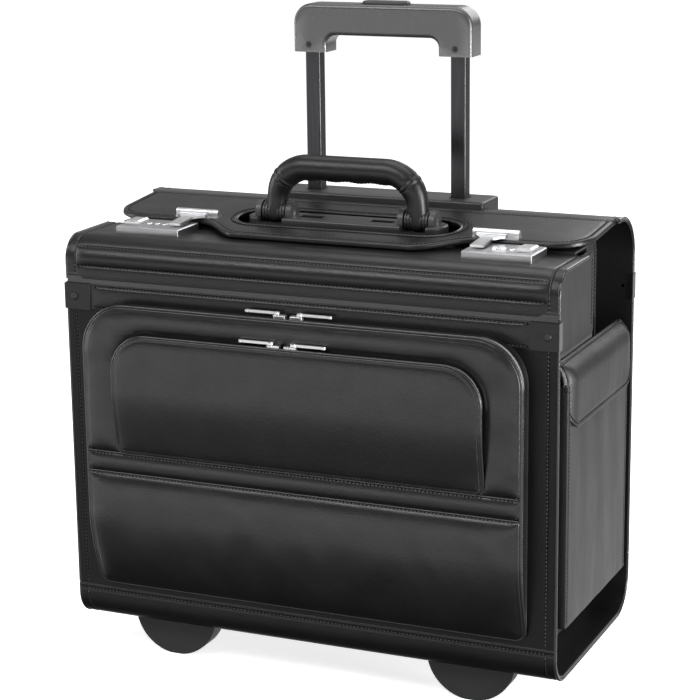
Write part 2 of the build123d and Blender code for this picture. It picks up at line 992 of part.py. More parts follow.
with BuildPart() as carry_handle:
    top_z = pivot_z + handle_rise
    with BuildLine(xz(handle_y)) as handle_path:
        FilletPolyline(
            (-handle_half_span, pivot_z),
            (-handle_half_span + handle_lean, top_z),
            (handle_half_span - handle_lean, top_z),
            (handle_half_span, pivot_z),
            radius=handle_bend,
        )
    with BuildSketch(Plane(origin=handle_path.line @ 0, z_dir=handle_path.line % 0)):
        Circle(handle_radius)
    sweep(path=handle_path.line)
    for s in SIDES.values():
        seat = (s * handle_half_span, handle_y, pivot_z)
        rod(seat, handle_radius, 2 * handle_radius, ALONG_X)
    for s in SIDES.values():
        seat = (s * handle_half_span, handle_y, pivot_z)
        for end in (-1, 1):
            outside = (seat[0] + end * (handle_radius + knuckle_reach / 2), handle_y, pivot_z)
            rod(outside, handle_radius + knuckle_relief, knuckle_reach, ALONG_X, Mode.SUBTRACT)
        bore = pivot_pin_radius + pin_running
        rod(seat, bore, 4 * handle_radius, ALONG_X, Mode.SUBTRACT)
save(carry_handle, "carry_handle")

# ---- trolley handle
stage_step = 2 * (tube_gap + tube_wall)


def tube_pair(stage, z_range):
    """Two square tubes of one telescopic stage: 0 is the innermost."""
    width = tube_width + stage * stage_step
    depth = tube_depth + stage * stage_step
    with BuildPart() as tubes:
        for s in SIDES.values():
            with BuildSketch(Plane.XY.offset(z_range[0])):
                with Locations((s * tube_half_span, tube_y)):
                    outer_radius = tube_radius + stage * stage_step / 2
                    RectangleRounded(width, depth, outer_radius)
                    bore = (width - 2 * tube_wall, depth - 2 * tube_wall)
                    inner_radius = outer_radius - tube_wall
                    RectangleRounded(*bore, inner_radius, mode=Mode.SUBTRACT)
            extrude(amount=z_range[1] - z_range[0])
    return tubes


outer_floor = case_bottom + tube_floor
mid_top = bezel_top + mid_tube_proud
inner_floor = outer_floor + tube_overlap + grip_rise
save(tube_pair(2, (outer_floor, bezel_under)), "outer_tubes")
save(tube_pair(1, (outer_floor + mid_tube_lift, mid_top)), "mid_tubes")
save(tube_pair(0, (inner_floor, cavity_floor)), "inner_tubes")

with BuildPart() as trolley_foot:
    half = tube_half_span + foot_reach
    foot_y = (cover_front + cover_wall + foot_gap, case_back - wall - foot_clearance)
    plate_floor = outer_floor - foot_plate
    block((-half, half), foot_y, (plate_floor, outer_floor))
    block((-half, half), (foot_y[0], foot_y[0] + foot_plate), (floor_z, plate_floor))
save(trolley_foot, "trolley_foot")

with BuildPart() as trolley_bezel:
    block(
        (-bezel_half_length, bezel_half_length),
        (case_back - bezel_depth, case_back),
        (bezel_under, bezel_top),
    )
    fillet(trolley_bezel.edges().filter_by(Axis.Z), bezel_radius)
    fillet(trolley_bezel.faces().sort_by(Axis.Z)[-1].edges(), bezel_edge)
    for s in SIDES.values():
        with BuildSketch(Plane.XY.offset(bezel_under)):
            with Locations((s * tube_half_span, tube_y)):
                RectangleRounded(
                    tube_width + stage_step + 2 * tube_gap,
                    tube_depth + stage_step + 2 * tube_gap,
                    tube_radius + stage_step / 2 + tube_gap,
                )
        extrude(amount=bezel_top - bezel_under, mode=Mode.SUBTRACT)
save(trolley_bezel, "trolley_bezel")

tube_reach = tube_half_span + tube_width / 2
grip_front = tube_y - grip_depth / 2
grip_screw_z = grip_bottom + grip_screw_rise
grip_shank_length = (grip_depth - tube_depth) / 2
with BuildPart() as trolley_grip:
    leg_inner = grip_half_width - grip_leg
    with BuildSketch(xz(tube_y + grip_depth / 2)) as grip_face:
        with Locations((0, (grip_bottom + grip_top) / 2)):
            Rectangle(2 * grip_half_width, grip_height)
        fillet(grip_face.vertices().group_by(Axis.Y)[-1], grip_radius)
        with Locations((0, grip_bottom + grip_arch / 2)):
            Rectangle(2 * leg_inner, grip_arch, mode=Mode.SUBTRACT)
    extrude(amount=grip_depth)
    arch_corners = [
        e
        for e in trolley_grip.edges().filter_by(Axis.Y)
        if abs(e.center().Z - grip_bottom - grip_arch) < 0.1
    ]
    fillet(arch_corners, grip_arch_radius)
    rims = [
        e
        for e in trolley_grip.edges()
        if abs(abs(e.center().Y - tube_y) - grip_depth / 2) < 0.1
        and e.center().Z > grip_bottom + 0.1
    ]
    fillet(rims, grip_edge)
    block(
        (-tube_reach, tube_reach),
        (tube_y - yoke_width / 2 - yoke_gap, tube_y + yoke_width / 2 + yoke_gap),
        (cavity_floor, button_floor + yoke_top_gap),
        Mode.SUBTRACT,
    )
    block(
        (-button_half_length - button_gap, button_half_length + button_gap),
        (tube_y - button_width / 2 - button_gap, tube_y + button_width / 2 + button_gap),
        (button_floor - button_travel - yoke_top_gap, grip_top + cut_past),
        Mode.SUBTRACT,
    )
    for s in SIDES.values():
        with BuildSketch(Plane.XY.offset(grip_bottom - cut_past)):
            with Locations((s * tube_half_span, tube_y)):
                RectangleRounded(tube_width, tube_depth, tube_radius)
        extrude(amount=cavity_floor - grip_bottom + cut_past, mode=Mode.SUBTRACT)
        screw_x = s * tube_half_span
        seat = (screw_x, grip_front + grip_screw_seat / 2, grip_screw_z)
        rod(seat, grip_screw_radius, grip_screw_seat, ALONG_Y, Mode.SUBTRACT)
        shank = (screw_x, grip_front + grip_shank_length / 2, grip_screw_z)
        rod(shank, grip_shank_radius, grip_shank_length, ALONG_Y, Mode.SUBTRACT)
save(trolley_grip, "trolley_grip")

with BuildPart() as grip_screws:
    for s in SIDES.values():
        x = s * tube_half_span
        head_y = grip_front + grip_screw_sink + grip_screw_head / 2
        rod((x, head_y, grip_screw_z), grip_screw_radius, grip_screw_head, ALONG_Y)
        shank_y = grip_front + (grip_screw_seat + grip_shank_length) / 2
        length = grip_shank_length - grip_screw_seat
        rod((x, shank_y, grip_screw_z), grip_shank_radius, length, ALONG_Y)
        for across, up in ((cross_length, cross_width), (cross_width, cross_length)):
            block(
                (x - across / 2, x + across / 2),
                (grip_front, grip_front + cross_depth),
                (grip_screw_z - up / 2, grip_screw_z + up / 2),
                Mode.SUBTRACT,
            )
save(grip_screws, "grip_screws")

with BuildPart() as release_button:
    block(
        (-button_half_length, button_half_length),
        (tube_y - button_width / 2, tube_y + button_width / 2),
        (button_floor, grip_top + button_proud),
    )
    fillet(release_button.edges().filter_by(Axis.Z), button_radius)
    fillet(release_button.faces().sort_by(Axis.Z)[-1].edges(), button_edge)
save(release_button, "release_button")

with BuildPart() as push_yoke:
    yoke_z = (button_floor - yoke_height, button_floor)
    yoke_y = (tube_y - yoke_width / 2, tube_y + yoke_width / 2)
    block((yoke_inset - tube_reach, tube_reach - yoke_inset), yoke_y, yoke_z)
    for s in SIDES.values():
        middle = (yoke_z[0] + inner_floor) / 2
        place = (s * tube_half_span, tube_y, middle)
        rod(place, rod_radius, yoke_z[0] - inner_floor)
save(push_yoke, "push_yoke")

with BuildPart() as trolley_cover:
    plate_x = panel_x - wall
    block(
        (-plate_x, plate_x),
        (cover_front, cover_front + cover_wall),
        (floor_z, case_top - wall),
    )
    wheel_notches(grow=cover_clearance)
save(trolley_cover, "trolley_cover")


# ---- wheels, housings and axles
def wheel_housing(s):
    """Wheel box let into the case's lower back corner: open below and behind."""
    x = s * wheel_half_span
    inner = housing_half - housing_wall
    back = case_back - housing_inset
    width = (x - housing_half, x + housing_half)
    with BuildPart() as housing:
        block(width, (housing_front, back), (case_bottom, housing_top))
        for end in (-1, 1):
            cheek = sorted((x + end * inner, x + end * housing_half))
            cheek_y = (wheel_y - cheek_radius, wheel_y + cheek_radius)
            block(cheek, cheek_y, (wheel_z - cheek_drop, case_bottom + cheek_lap))
            rod((sum(cheek) / 2, wheel_y, wheel_z), cheek_radius, housing_wall, ALONG_X)
        block(
            (x - inner, x + inner),
            (housing_front + housing_wall, back + cut_past),
            (case_bottom - cut_past, housing_top - housing_wall),
            Mode.SUBTRACT,
        )
        rod((x, wheel_y, wheel_z), axle_radius, 4 * housing_half, ALONG_X, Mode.SUBTRACT)
    return housing


def wheel_axle(x):
    """Axle with a flat head outside each cheek."""
    rod((x, wheel_y, wheel_z), axle_radius, 2 * housing_half, ALONG_X)
    for end in (-1, 1):
        head_x = x + end * (housing_half + axle_head_height / 2)
        rod((head_x, wheel_y, wheel_z), axle_head_radius, axle_head_height, ALONG_X)


def wheel_tyre(s):
    """Soft tread ring."""
    place = (s * wheel_half_span, wheel_y, wheel_z)
    with BuildPart() as tyre:
        rod(place, wheel_radius, wheel_width, ALONG_X)
        fillet(tyre.edges().filter_by(GeomType.CIRCLE), tyre_edge)
        rod(place, hub_radius, wheel_width, ALONG_X, Mode.SUBTRACT)
    return tyre


def wheel_hub(s):
    """Dished hub with five round openings and a long boss."""
    x = s * wheel_half_span
    place = (x, wheel_y, wheel_z)
    with BuildPart() as hub:
        rod(place, hub_radius, wheel_width - 2 * hub_inset, ALONG_X)
        for end in (-1, 1):
            dish = (x + end * (wheel_width / 2 - hub_inset), wheel_y, wheel_z)
            rod(dish, hub_radius - hub_rim, 2 * hub_dish, ALONG_X, Mode.SUBTRACT)
        rod(place, hub_boss_radius, wheel_width + 2 * hub_boss_proud, ALONG_X)
        with BuildSketch(yz(x - wheel_width)):
            with Locations((wheel_y, wheel_z)):
                with PolarLocations(hub_hole_circle, hub_holes):
                    Circle(hub_hole_radius)
        extrude(amount=2 * wheel_width, mode=Mode.SUBTRACT)
        bore = axle_radius + pin_running
        rod(place, bore, 2 * wheel_width, ALONG_X, Mode.SUBTRACT)
    return hub


save(both_sides(wheel_housing), "wheel_housings")
for side, s in SIDES.items():
    save(wheel_tyre(s), f"wheel_tyre_{side}")
    save(wheel_hub(s), f"wheel_hub_{side}")

with BuildPart() as wheel_axles:
    for s in SIDES.values():
        wheel_axle(s * wheel_half_span)
save(wheel_axles, "wheel_axles")


# ---- front feet and their screws
def front_foot(s):
    """Half-disc glide with a small flat to stand on."""
    drop = (foot_radius**2 - (foot_flat / 2) ** 2) ** 0.5
    foot_y = case_front + foot_setback
    with BuildPart() as foot:
        with BuildSketch(xz(foot_y + foot_thickness / 2)):
            with Locations((s * foot_half_span, drop)):
                Circle(foot_radius)
            with Locations((s * foot_half_span, case_bottom / 2)):
                Rectangle(2 * foot_radius, case_bottom, mode=Mode.INTERSECT)
        extrude(amount=foot_thickness)
        rod(
            (s * foot_half_span, foot_y, case_bottom - screw_bite / 2),
            screw_radius,
            screw_bite,
            mode=Mode.SUBTRACT,
        )
    return foot


save(both_sides(front_foot), "front_feet")

with BuildPart() as foot_screws:
    for s in SIDES.values():
        x, y = s * foot_half_span, case_front + foot_setback
        length = board_top - case_bottom + screw_bite
        rod((x, y, board_top - length / 2), screw_radius, length)
        rod((x, y, board_top + screw_head_height / 2), screw_head_radius, screw_head_height)
save(foot_screws, "foot_screws")

# ---- inside of the case
inside_x = panel_x - wall
with BuildPart() as floor_board:
    block(
        (-inside_x, inside_x),
        (case_front + front_corner_radius, housing_front - board_gap),
        (floor_z, board_top),
    )
    foot_screw_bores((floor_z, board_top))
save(floor_board, "floor_board")

with BuildPart() as laptop_divider:
    divider_back = handle_y + base_width / 2
    block(
        (-inside_x, inside_x),
        (divider_back - divider_wall, divider_back),
        (board_top, frame_top - frame_height),
    )
save(laptop_divider, "laptop_divider")
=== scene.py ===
import math

import bmesh
import bpy
import numpy as np
from mathutils import Matrix, Vector
from mathutils.geometry import delaunay_2d_cdt


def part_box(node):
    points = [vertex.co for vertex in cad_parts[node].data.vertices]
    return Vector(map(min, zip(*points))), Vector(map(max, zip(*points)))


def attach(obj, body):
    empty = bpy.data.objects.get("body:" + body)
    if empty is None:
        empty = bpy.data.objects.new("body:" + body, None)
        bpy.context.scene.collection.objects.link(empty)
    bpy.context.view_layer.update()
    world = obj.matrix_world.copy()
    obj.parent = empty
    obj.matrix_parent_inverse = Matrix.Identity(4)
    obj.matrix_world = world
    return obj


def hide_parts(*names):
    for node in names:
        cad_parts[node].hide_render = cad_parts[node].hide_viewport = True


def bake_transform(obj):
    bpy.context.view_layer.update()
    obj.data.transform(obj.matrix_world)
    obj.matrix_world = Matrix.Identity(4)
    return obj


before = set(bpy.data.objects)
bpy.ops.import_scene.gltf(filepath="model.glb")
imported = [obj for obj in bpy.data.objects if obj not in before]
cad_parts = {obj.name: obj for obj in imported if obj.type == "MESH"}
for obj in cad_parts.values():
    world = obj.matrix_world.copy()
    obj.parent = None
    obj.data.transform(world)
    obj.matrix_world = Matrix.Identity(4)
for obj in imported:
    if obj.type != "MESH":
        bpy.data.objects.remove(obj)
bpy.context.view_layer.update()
MM = 0.001
SIDES = {"left": -1, "right": 1}

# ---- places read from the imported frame
case_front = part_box("front_panel")[0].y
case_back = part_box("back_panel")[1].y
case_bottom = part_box("bottom_panel")[0].z
case_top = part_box("back_panel")[1].z
half_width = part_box("front_panel")[1].x
front_hinge_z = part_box("front_panel")[1].z
front_seam_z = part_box("front_panel")[0].z
back_seam_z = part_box("back_panel")[0].z
rear_hinge_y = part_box("back_panel")[0].y
lid_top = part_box("front_lid")[1].z
lid_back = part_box("front_lid")[1].y
lid_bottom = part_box("front_lid")[0].z
strip_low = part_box("reinforcement_strips")[0].z
strip_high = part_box("reinforcement_strips")[1].z
handle_y = (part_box("carry_handle")[0].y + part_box("carry_handle")[1].y) / 2
main_low, main_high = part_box("front_pocket")
small_low, small_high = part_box("accessory_pocket")
housing_low, housing_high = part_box("wheel_housings")
bezel_low, bezel_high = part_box("trolley_bezel")

# ---- thicknesses and seams
wall = 4.0 * MM
edge_radius = 1.8 * MM
seam_inset = 9.0 * MM
front_radius = 25.0 * MM
back_radius = 35.0 * MM
top_radius = 40.0 * MM
lid_radius = 22.0 * MM
stitch_pitch = 3.6 * MM
hem = 5.0 * MM
piping_sink = 0.9 * MM
mouth_radius = 1.5 * MM
wing_edge_radius = 1.9 * MM
loop_gap = 20 * MM


# ---- small helpers
def unit(v):
    """Vectors of length one."""
    return v / np.maximum(np.linalg.norm(v, axis=-1, keepdims=True), 1e-12)


def smooth(t):
    """Soft step from 0 to 1."""
    t = np.clip(t, 0, 1)
    return t * t * (3 - 2 * t)


def groove(distance, depth=0.55 * MM, width=1.1 * MM):
    """Dip of a pulled seam at a distance from its line."""
    return -depth * np.exp(-((distance / width) ** 2))


def rolled(distance, radius=edge_radius):
    """Fall of a rounded edge at a distance from it."""
    inside = np.clip(radius - distance, 0, radius)
    return np.sqrt(np.maximum(radius**2 - inside**2, 0)) - radius


def lines(low, high, step, marks=()):
    """Grid lines from low to high, closer together at the ends and at the marks."""
    near = np.array([0.12, 0.4, 0.8, 1.25, 1.8]) * MM
    places = [np.linspace(low, high, max(2, int(round((high - low) / step)) + 1)), low + near, high - near]
    for mark in marks:
        places.append(mark + np.array([-2.2, -1.3, -0.7, 0, 0.7, 1.3, 2.2]) * MM)
    found = np.unique(np.concatenate(places))
    found = found[(found >= low - 1e-9) & (found <= high + 1e-9)]
    kept = [found[0]]
    for place in found[1:]:
        if place - kept[-1] > 0.1 * MM:
            kept.append(place)
    kept[-1] = high
    return np.array(kept)


def rounded(corners, radii, step=0.4 * MM):
    """Points along a polyline whose corners are rounded, evenly spaced."""
    corners = [np.array(c, float) for c in corners]
    line = [corners[0]]
    for before, corner, after, radius in zip(corners, corners[1:], corners[2:], radii):
        a, b = unit(before - corner), unit(after - corner)
        half = math.acos(float(np.clip(a @ b, -1, 1))) / 2
        centre = corner + unit(a + b) * radius / math.sin(half)
        start = corner + a * radius / math.tan(half) - centre
        end = corner + b * radius / math.tan(half) - centre
        turn = math.pi - 2 * half
        for t in np.linspace(0, 1, max(3, int(turn * radius / step) + 1)):
            arc = math.sin((1 - t) * turn) * start + math.sin(t * turn) * end
            line.append(centre + arc / math.sin(turn))
    line.append(corners[-1])
    line = np.array(line)
    reach = np.concatenate([[0], np.cumsum(np.linalg.norm(np.diff(line, axis=0), axis=1))])
    even = np.linspace(0, reach[-1], max(3, int(reach[-1] / step) + 1))
    return np.stack([np.interp(even, reach, line[:, i]) for i in range(line.shape[1])], 1)


def resampled(points, pitch):
    """A polyline's points at a regular pitch."""
    reach = np.concatenate([[0], np.cumsum(np.linalg.norm(np.diff(points, axis=0), axis=1))])
    count = max(2, int(reach[-1] / pitch))
    even = (np.arange(count) + 0.5) * reach[-1] / count
    return np.stack([np.interp(even, reach, points[:, i]) for i in range(points.shape[1])], 1)


def straight(a, b):
    """A two-point line as an array."""
    return np.array([a, b], float)


def unbroken(points):
    """Points of a loop that has a gap, in an order that starts after the gap."""
    steps = np.linalg.norm(np.diff(points[:, :3], axis=0), axis=1)
    widest = int(np.argmax(steps))
    if steps[widest] > loop_gap:
        return np.concatenate([points[widest + 1 :], points[: widest + 1]])
    return points


class Path:
    """Rounded 2-D path with positions and outward normals by length."""

    def __init__(self, corners, radii, out=1):
        self.points = rounded(corners, radii)
        steps = np.linalg.norm(np.diff(self.points, axis=0), axis=1)
        self.reach = np.concatenate([[0], np.cumsum(steps)])
        self.length = self.reach[-1]
        along = unit(np.gradient(self.points, self.reach, axis=0))
        self.normals = out * np.stack([-along[:, 1], along[:, 0]], 1)

    def at(self, s):
        """Point and normal at length s."""
        pick = [np.interp(s, self.reach, self.points[:, i]) for i in (0, 1)]
        turn = [np.interp(s, self.reach, self.normals[:, i]) for i in (0, 1)]
        return np.stack(pick, -1), unit(np.stack(turn, -1))

    def nearest(self, point):
        """Length at which the path passes closest to a point."""
        gap = np.linalg.norm(self.points - np.array(point), axis=1)
        return self.reach[int(np.argmin(gap))]


class Sheet:
    """Sheet that follows a path in one plane and runs straight along the third axis."""

    def __init__(self, path, axes, relief):
        self.path, self.axes, self.relief = path, axes, relief

    def point(self, x, s, lift=0.0, plain=False):
        """Places on the sheet and their normals, at x along it and length s of its path."""
        x, s = np.broadcast_arrays(np.asarray(x, float), np.asarray(s, float))
        flat, turn = self.path.at(s)
        place = np.zeros(x.shape + (3,))
        normal = np.zeros(x.shape + (3,))
        place[..., self.axes[0]] = x
        for i in (0, 1):
            place[..., self.axes[i + 1]] = flat[..., i]
            normal[..., self.axes[i + 1]] = turn[..., i]
        raised = lift + (0 if plain else self.relief(x, s))
        return place + normal * np.asarray(raised + 0 * x)[..., None], normal

    def on(self, line):
        """Places and normals along a line of (x, s) pairs."""
        return self.point(line[:, 0], line[:, 1])


# ---- mesh makers
def finish_mesh(name, verts, faces, body, material, slot, sharp=38, face_kinds=None):
    """Closed mesh piece with outward faces, riding on a body."""
    mesh = bpy.data.meshes.new(name)
    mesh.from_pydata([tuple(map(float, v)) for v in verts], [], [tuple(map(int, f)) for f in faces])
    if face_kinds is not None:
        mesh.polygons.foreach_set("material_index", np.asarray(face_kinds, np.int32))
    shape = bmesh.new()
    shape.from_mesh(mesh)
    loose = [v for v in shape.verts if not v.link_faces]
    bmesh.ops.delete(shape, geom=loose, context="VERTS")
    bmesh.ops.recalc_face_normals(shape, faces=shape.faces)
    shape.to_mesh(mesh)
    shape.free()
    mesh.polygons.foreach_set("use_smooth", np.ones(len(mesh.polygons), bool))
    mesh.set_sharp_from_angle(angle=math.radians(sharp))
    obj = bpy.data.objects.new(name, mesh)
    bpy.context.scene.collection.objects.link(obj)
    for used in material if isinstance(material, list) else [material]:
        mesh.materials.append(used)
    if body is not None:
        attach(obj, body)
    return obj


def layered(outer, inner, keep=None):
    """Vertices and faces of a sheet between two grids, leaving out the cells not kept."""
    rows, cols = outer.shape[:2]
    if keep is None:
        keep = np.ones((rows - 1, cols - 1), bool)
    count = rows * cols
    padded = np.pad(keep, 1)
    faces = []
    for r, c in np.argwhere(keep):
        i, j = r * cols + c, (r + 1) * cols + c
        k, l = j + 1, i + 1
        faces.append((i, j, k, l))
        faces.append((l + count, k + count, j + count, i + count))
        beside = (
            (padded[r + 1, c], i, j),
            (padded[r + 2, c + 1], j, k),
            (padded[r + 1, c + 2], k, l),
            (padded[r, c + 1], l, i),
        )
        for there, a, b in beside:
            if not there:
                faces.append((b, a, a + count, b + count))
    return np.concatenate([outer.reshape(-1, 3), inner.reshape(-1, 3)]), faces


def swept(name, sheet, x_lines, s_lines, thickness, body, material, slot, skip=None):
    """Sheet piece with its relief outside, a plain inside and optional openings."""
    x, s = np.meshgrid(x_lines, s_lines, indexing="ij")
    outer = sheet.point(x, s)[0]
    inner = sheet.point(x, s, -thickness, plain=True)[0]
    keep = None
    if skip is not None:
        middle = (outer[1:, 1:] + outer[:-1, :-1] + outer[1:, :-1] + outer[:-1, 1:]) / 4
        keep = ~skip(middle)
    verts, faces = layered(outer, inner, keep)
    return finish_mesh(name, verts, faces, body, material, slot)


def tube(name, points, radius, body, material, slot, closed=False, sides=10):
    """Round cord of leather or metal along points; radius may vary with them."""
    points = np.asarray(points, float)
    count = len(points)
    along = np.roll(points, -1, 0) - np.roll(points, 1, 0)
    if not closed:
        along[0], along[-1] = points[1] - points[0], points[-1] - points[-2]
    along = unit(along)
    up = np.array([0, 0, 1.0]) if abs(along[0][2]) < 0.9 else np.array([0, 1.0, 0])
    normals = []
    for direction in along:
        up = unit(up - direction * (up @ direction))
        normals.append(up)
    normals = np.array(normals)
    across = np.cross(along, normals)
    angles = np.linspace(0, 2 * math.pi, sides, endpoint=False)
    outward = np.cos(angles)[None, :, None] * normals[:, None]
    spread = outward + np.sin(angles)[None, :, None] * across[:, None]
    radius = np.broadcast_to(np.asarray(radius, float), (count,))
    verts = (points[:, None] + spread * radius[:, None, None]).reshape(-1, 3)
    faces = []
    last = count if closed else count - 1
    for r in range(last):
        for c in range(sides):
            a, b = r * sides + c, r * sides + (c + 1) % sides
            q = ((r + 1) % count) * sides
            faces.append((a, b, q + (c + 1) % sides, q + c))
    if not closed:
        faces.append(tuple(range(sides))[::-1])
        faces.append(tuple(range((count - 1) * sides, count * sides)))
    return finish_mesh(name, verts, faces, body, material, slot, sharp=60)


def capsule(length, radius, height, rings=4, sides=8):
    """Rounded bar along X, flattened to a height, as vertices and faces."""
    verts, faces = [(-length / 2, 0, 0)], []
    for ring in range(rings):
        t = (ring + 0.5) / rings
        x = -math.cos(t * math.pi)
        wide = math.sqrt(max(0.0, 1 - abs(x) ** 3.2))
        for side in range(sides):
            a = 2 * math.pi * side / sides
            verts.append((x * length / 2, radius * wide * math.cos(a), height * wide * math.sin(a)))
    verts.append((length / 2, 0, 0))
    for side in range(sides):
        other = (side + 1) % sides
        faces.append((0, 1 + other, 1 + side))
        for ring in range(rings - 1):
            a, b = 1 + ring * sides, 1 + (ring + 1) * sides
            faces.append((a + side, a + other, b + other, b + side))
        end = 1 + (rings - 1) * sides
        faces.append((end + side, end + other, len(verts) - 1))
    return np.array(verts), faces


def scattered(name, templates, origins, along, normals, body, materials, slot):
    """One mesh of many small shapes, each set at an origin with a direction and a normal."""
    along = unit(along)
    normals = unit(normals - along * np.sum(along * normals, -1, keepdims=True))
    across = np.cross(normals, along)
    verts, faces, kinds, base = [], [], [], 0
    for kind, (shape, shape_faces, shift) in enumerate(templates):
        local = shape + np.array(shift)
        placed = (
            origins[:, None]
            + along[:, None] * local[None, :, 0:1]
            + across[:, None] * local[None, :, 1:2]
            + normals[:, None] * local[None, :, 2:3]
        )
        verts.append(placed.reshape(-1, 3))
        for i in range(len(origins)):
            start = base + i * len(shape)
            faces += [tuple(start + v for v in f) for f in shape_faces]
        kinds += [kind] * (len(shape_faces) * len(origins))
        base += len(origins) * len(shape)
    return finish_mesh(name, np.concatenate(verts), faces, body, materials, slot, face_kinds=kinds)


def stitches(name, runs, body, pitch=stitch_pitch, slot="shell_leather"):
    """Lock stitches along runs of (points, normals), with near-black discs between them as painted shade of the
    needle holes.
    """
    origins, along, normals = [], [], []
    for points, turned in runs:
        both = resampled(np.concatenate([points, turned], 1), pitch)
        ahead = np.gradient(both[:, :3], axis=0)
        origins.append(both[:, :3])
        along.append(ahead)
        normals.append(unit(both[:, 3:]))
    thread = capsule(pitch * 0.66, 0.52 * MM, 0.45 * MM)
    # flat near-black discs at the needle holes: painted shade, since a real hole is only dark by its shadow
    hole = capsule(1.7 * MM, 0.95 * MM, 0.34 * MM)
    templates = [(*thread, (0, 0, 0.3 * MM)), (*hole, (pitch / 2, 0, 0.16 * MM))]
    return scattered(
        name,
        templates,
        np.concatenate(origins),
        np.concatenate(along),
        np.concatenate(normals),
        body,
        [thread_material, needle_hole_shade_material],
        slot,
    )


def run_on(sheet, a, b, count=200):
    """A stitch run along a straight line of a sheet."""
    line = np.stack([np.linspace(a[i], b[i], count) for i in (0, 1)], 1)
    return sheet.on(line)


# ---- flat plates cut to an outline
def to_segments(points, loops):
    """Distance from points to the nearest segment of some polylines."""
    best = np.full(len(points), 1e9)
    for loop in loops:
        a, b = loop[:-1], loop[1:]
        side = b - a
        length = np.maximum(np.sum(side**2, 1), 1e-18)
        for start in range(0, len(points), 2000):
            part = points[start : start + 2000]
            gap = part[:, None] - a[None]
            t = np.clip(np.sum(gap * side[None], -1) / length[None], 0, 1)
            miss = np.linalg.norm(gap - t[..., None] * side[None], axis=-1)
            best[start : start + 2000] = np.minimum(best[start : start + 2000], miss.min(1))
    return best


def inside(points, loop):
    """Whether points lie inside a closed loop."""
    x, y = points[:, 0:1], points[:, 1:2]
    x0, y0 = loop[:-1, 0], loop[:-1, 1]
    x1, y1 = loop[1:, 0], loop[1:, 1]
    crosses = (y0 > y) != (y1 > y)
    rise = np.where(y1 == y0, 1e-12, y1 - y0)
    return (np.sum(crosses & (x < (x1 - x0) * (y - y0) / rise + x0), 1) % 2) == 1


def closed(loop):
    """A loop that ends at its first point."""
    return loop if np.allclose(loop[0], loop[-1]) else np.concatenate([loop, loop[:1]])


def rect_loop(u0, u1, v0, v1, radii, spacing=2.0 * MM):
    """Rounded rectangle as a closed loop; radii go from the first corner, anticlockwise."""
    middle = (u0 + u1) / 2
    corners = [(middle, v0), (u1, v0), (u1, v1), (u0, v1), (u0, v0), (middle, v0)]
    fine = rounded(corners, [radii[1], radii[2], radii[3], radii[0]], spacing / 4)
    return fine[:: 4 if len(fine) > 400 else 2]


def offset_loop(loop, distance):
    """Loop moved inwards by a distance; inwards is to the left of its direction."""
    points = loop[:-1]
    along = unit(np.roll(points, -1, 0) - np.roll(points, 1, 0))
    moved = points + distance * np.stack([-along[:, 1], along[:, 0]], 1)
    return closed(moved)


class Cut:
    """Triangulated region inside an outline, with holes and lines it keeps as edges."""

    def __init__(self, outline, holes=(), marks=(), spacing=5 * MM, insets=(0.4, 1.0, 1.8, 3.0, 4.6, 6.5)):
        self.loops = [closed(outline)] + [closed(h) for h in holes]
        self.marks = [np.asarray(m, float) for m in marks]
        rows = []
        edges = []
        count = 0
        for loop in self.loops:
            points = loop[:-1]
            rows.append(points)
            edges += [(count + i, count + (i + 1) % len(points)) for i in range(len(points))]
            count += len(points)
        for i, loop in enumerate(self.loops):
            for distance in insets:
                moved = offset_loop(loop, distance * MM * (1 if i == 0 else -1))
                kept = moved[:-1][self.contains(moved[:-1])]
                kept = kept[to_segments(kept, self.loops) > 0.9 * distance * MM]
                rows.append(kept[:: 1 if distance < 4 else 2])
        for mark in self.marks:
            fine = resampled(mark, 2.5 * MM)
            for distance in (-1.2 * MM, 0, 1.2 * MM):
                sideways = unit(np.gradient(fine, axis=0))
                moved = fine + distance * np.stack([-sideways[:, 1], sideways[:, 0]], 1)
                kept = moved[self.contains(moved)]
                kept = kept[to_segments(kept, self.loops) > 0.5 * MM]
                rows.append(kept)
        low, high = self.loops[0].min(0), self.loops[0].max(0)
        u = np.arange(low[0] + spacing / 2, high[0], spacing)
        v = np.arange(low[1] + spacing / 2, high[1], spacing)
        grid = np.stack(np.meshgrid(u, v), -1).reshape(-1, 2)
        grid = grid[self.contains(grid)]
        far = to_segments(grid, self.loops) > (max(insets) + 2) * MM
        if self.marks:
            far &= to_segments(grid, self.marks) > 2.6 * MM
        rows.append(grid[far])
        points = np.concatenate(rows)
        result = delaunay_2d_cdt([Vector(p) for p in points], edges, [], 0, 1e-7)
        self.uv = np.array([tuple(v) for v in result[0]])
        faces = np.array([f for f in result[2]])
        centres = self.uv[faces].mean(1)
        self.faces = faces[self.contains(centres)]
        self.edge_gap = to_segments(self.uv, self.loops)

    def contains(self, points):
        """Whether points are inside the outline and outside the holes."""
        found = inside(points, self.loops[0])
        for hole in self.loops[1:]:
            found &= ~inside(points, hole)
        return found

    def border(self):
        """Directed edges that have one face."""
        seen = {}
        for a, b, c in self.faces:
            for edge in ((a, b), (b, c), (c, a)):
                seen[edge] = True
        return [(a, b) for a, b in seen if (b, a) not in seen]


def ring_faces(count, around):
    """Faces of a row of rings, closed at both ends."""
    faces = []
    for a in range(count - 1):
        for b in range(around):
            c = (b + 1) % around
            faces.append((a * around + b, a * around + c, (a + 1) * around + c, (a + 1) * around + b))
    faces.append(tuple(range(around)))
    faces.append(tuple(range((count - 1) * around, count * around)))
    return faces


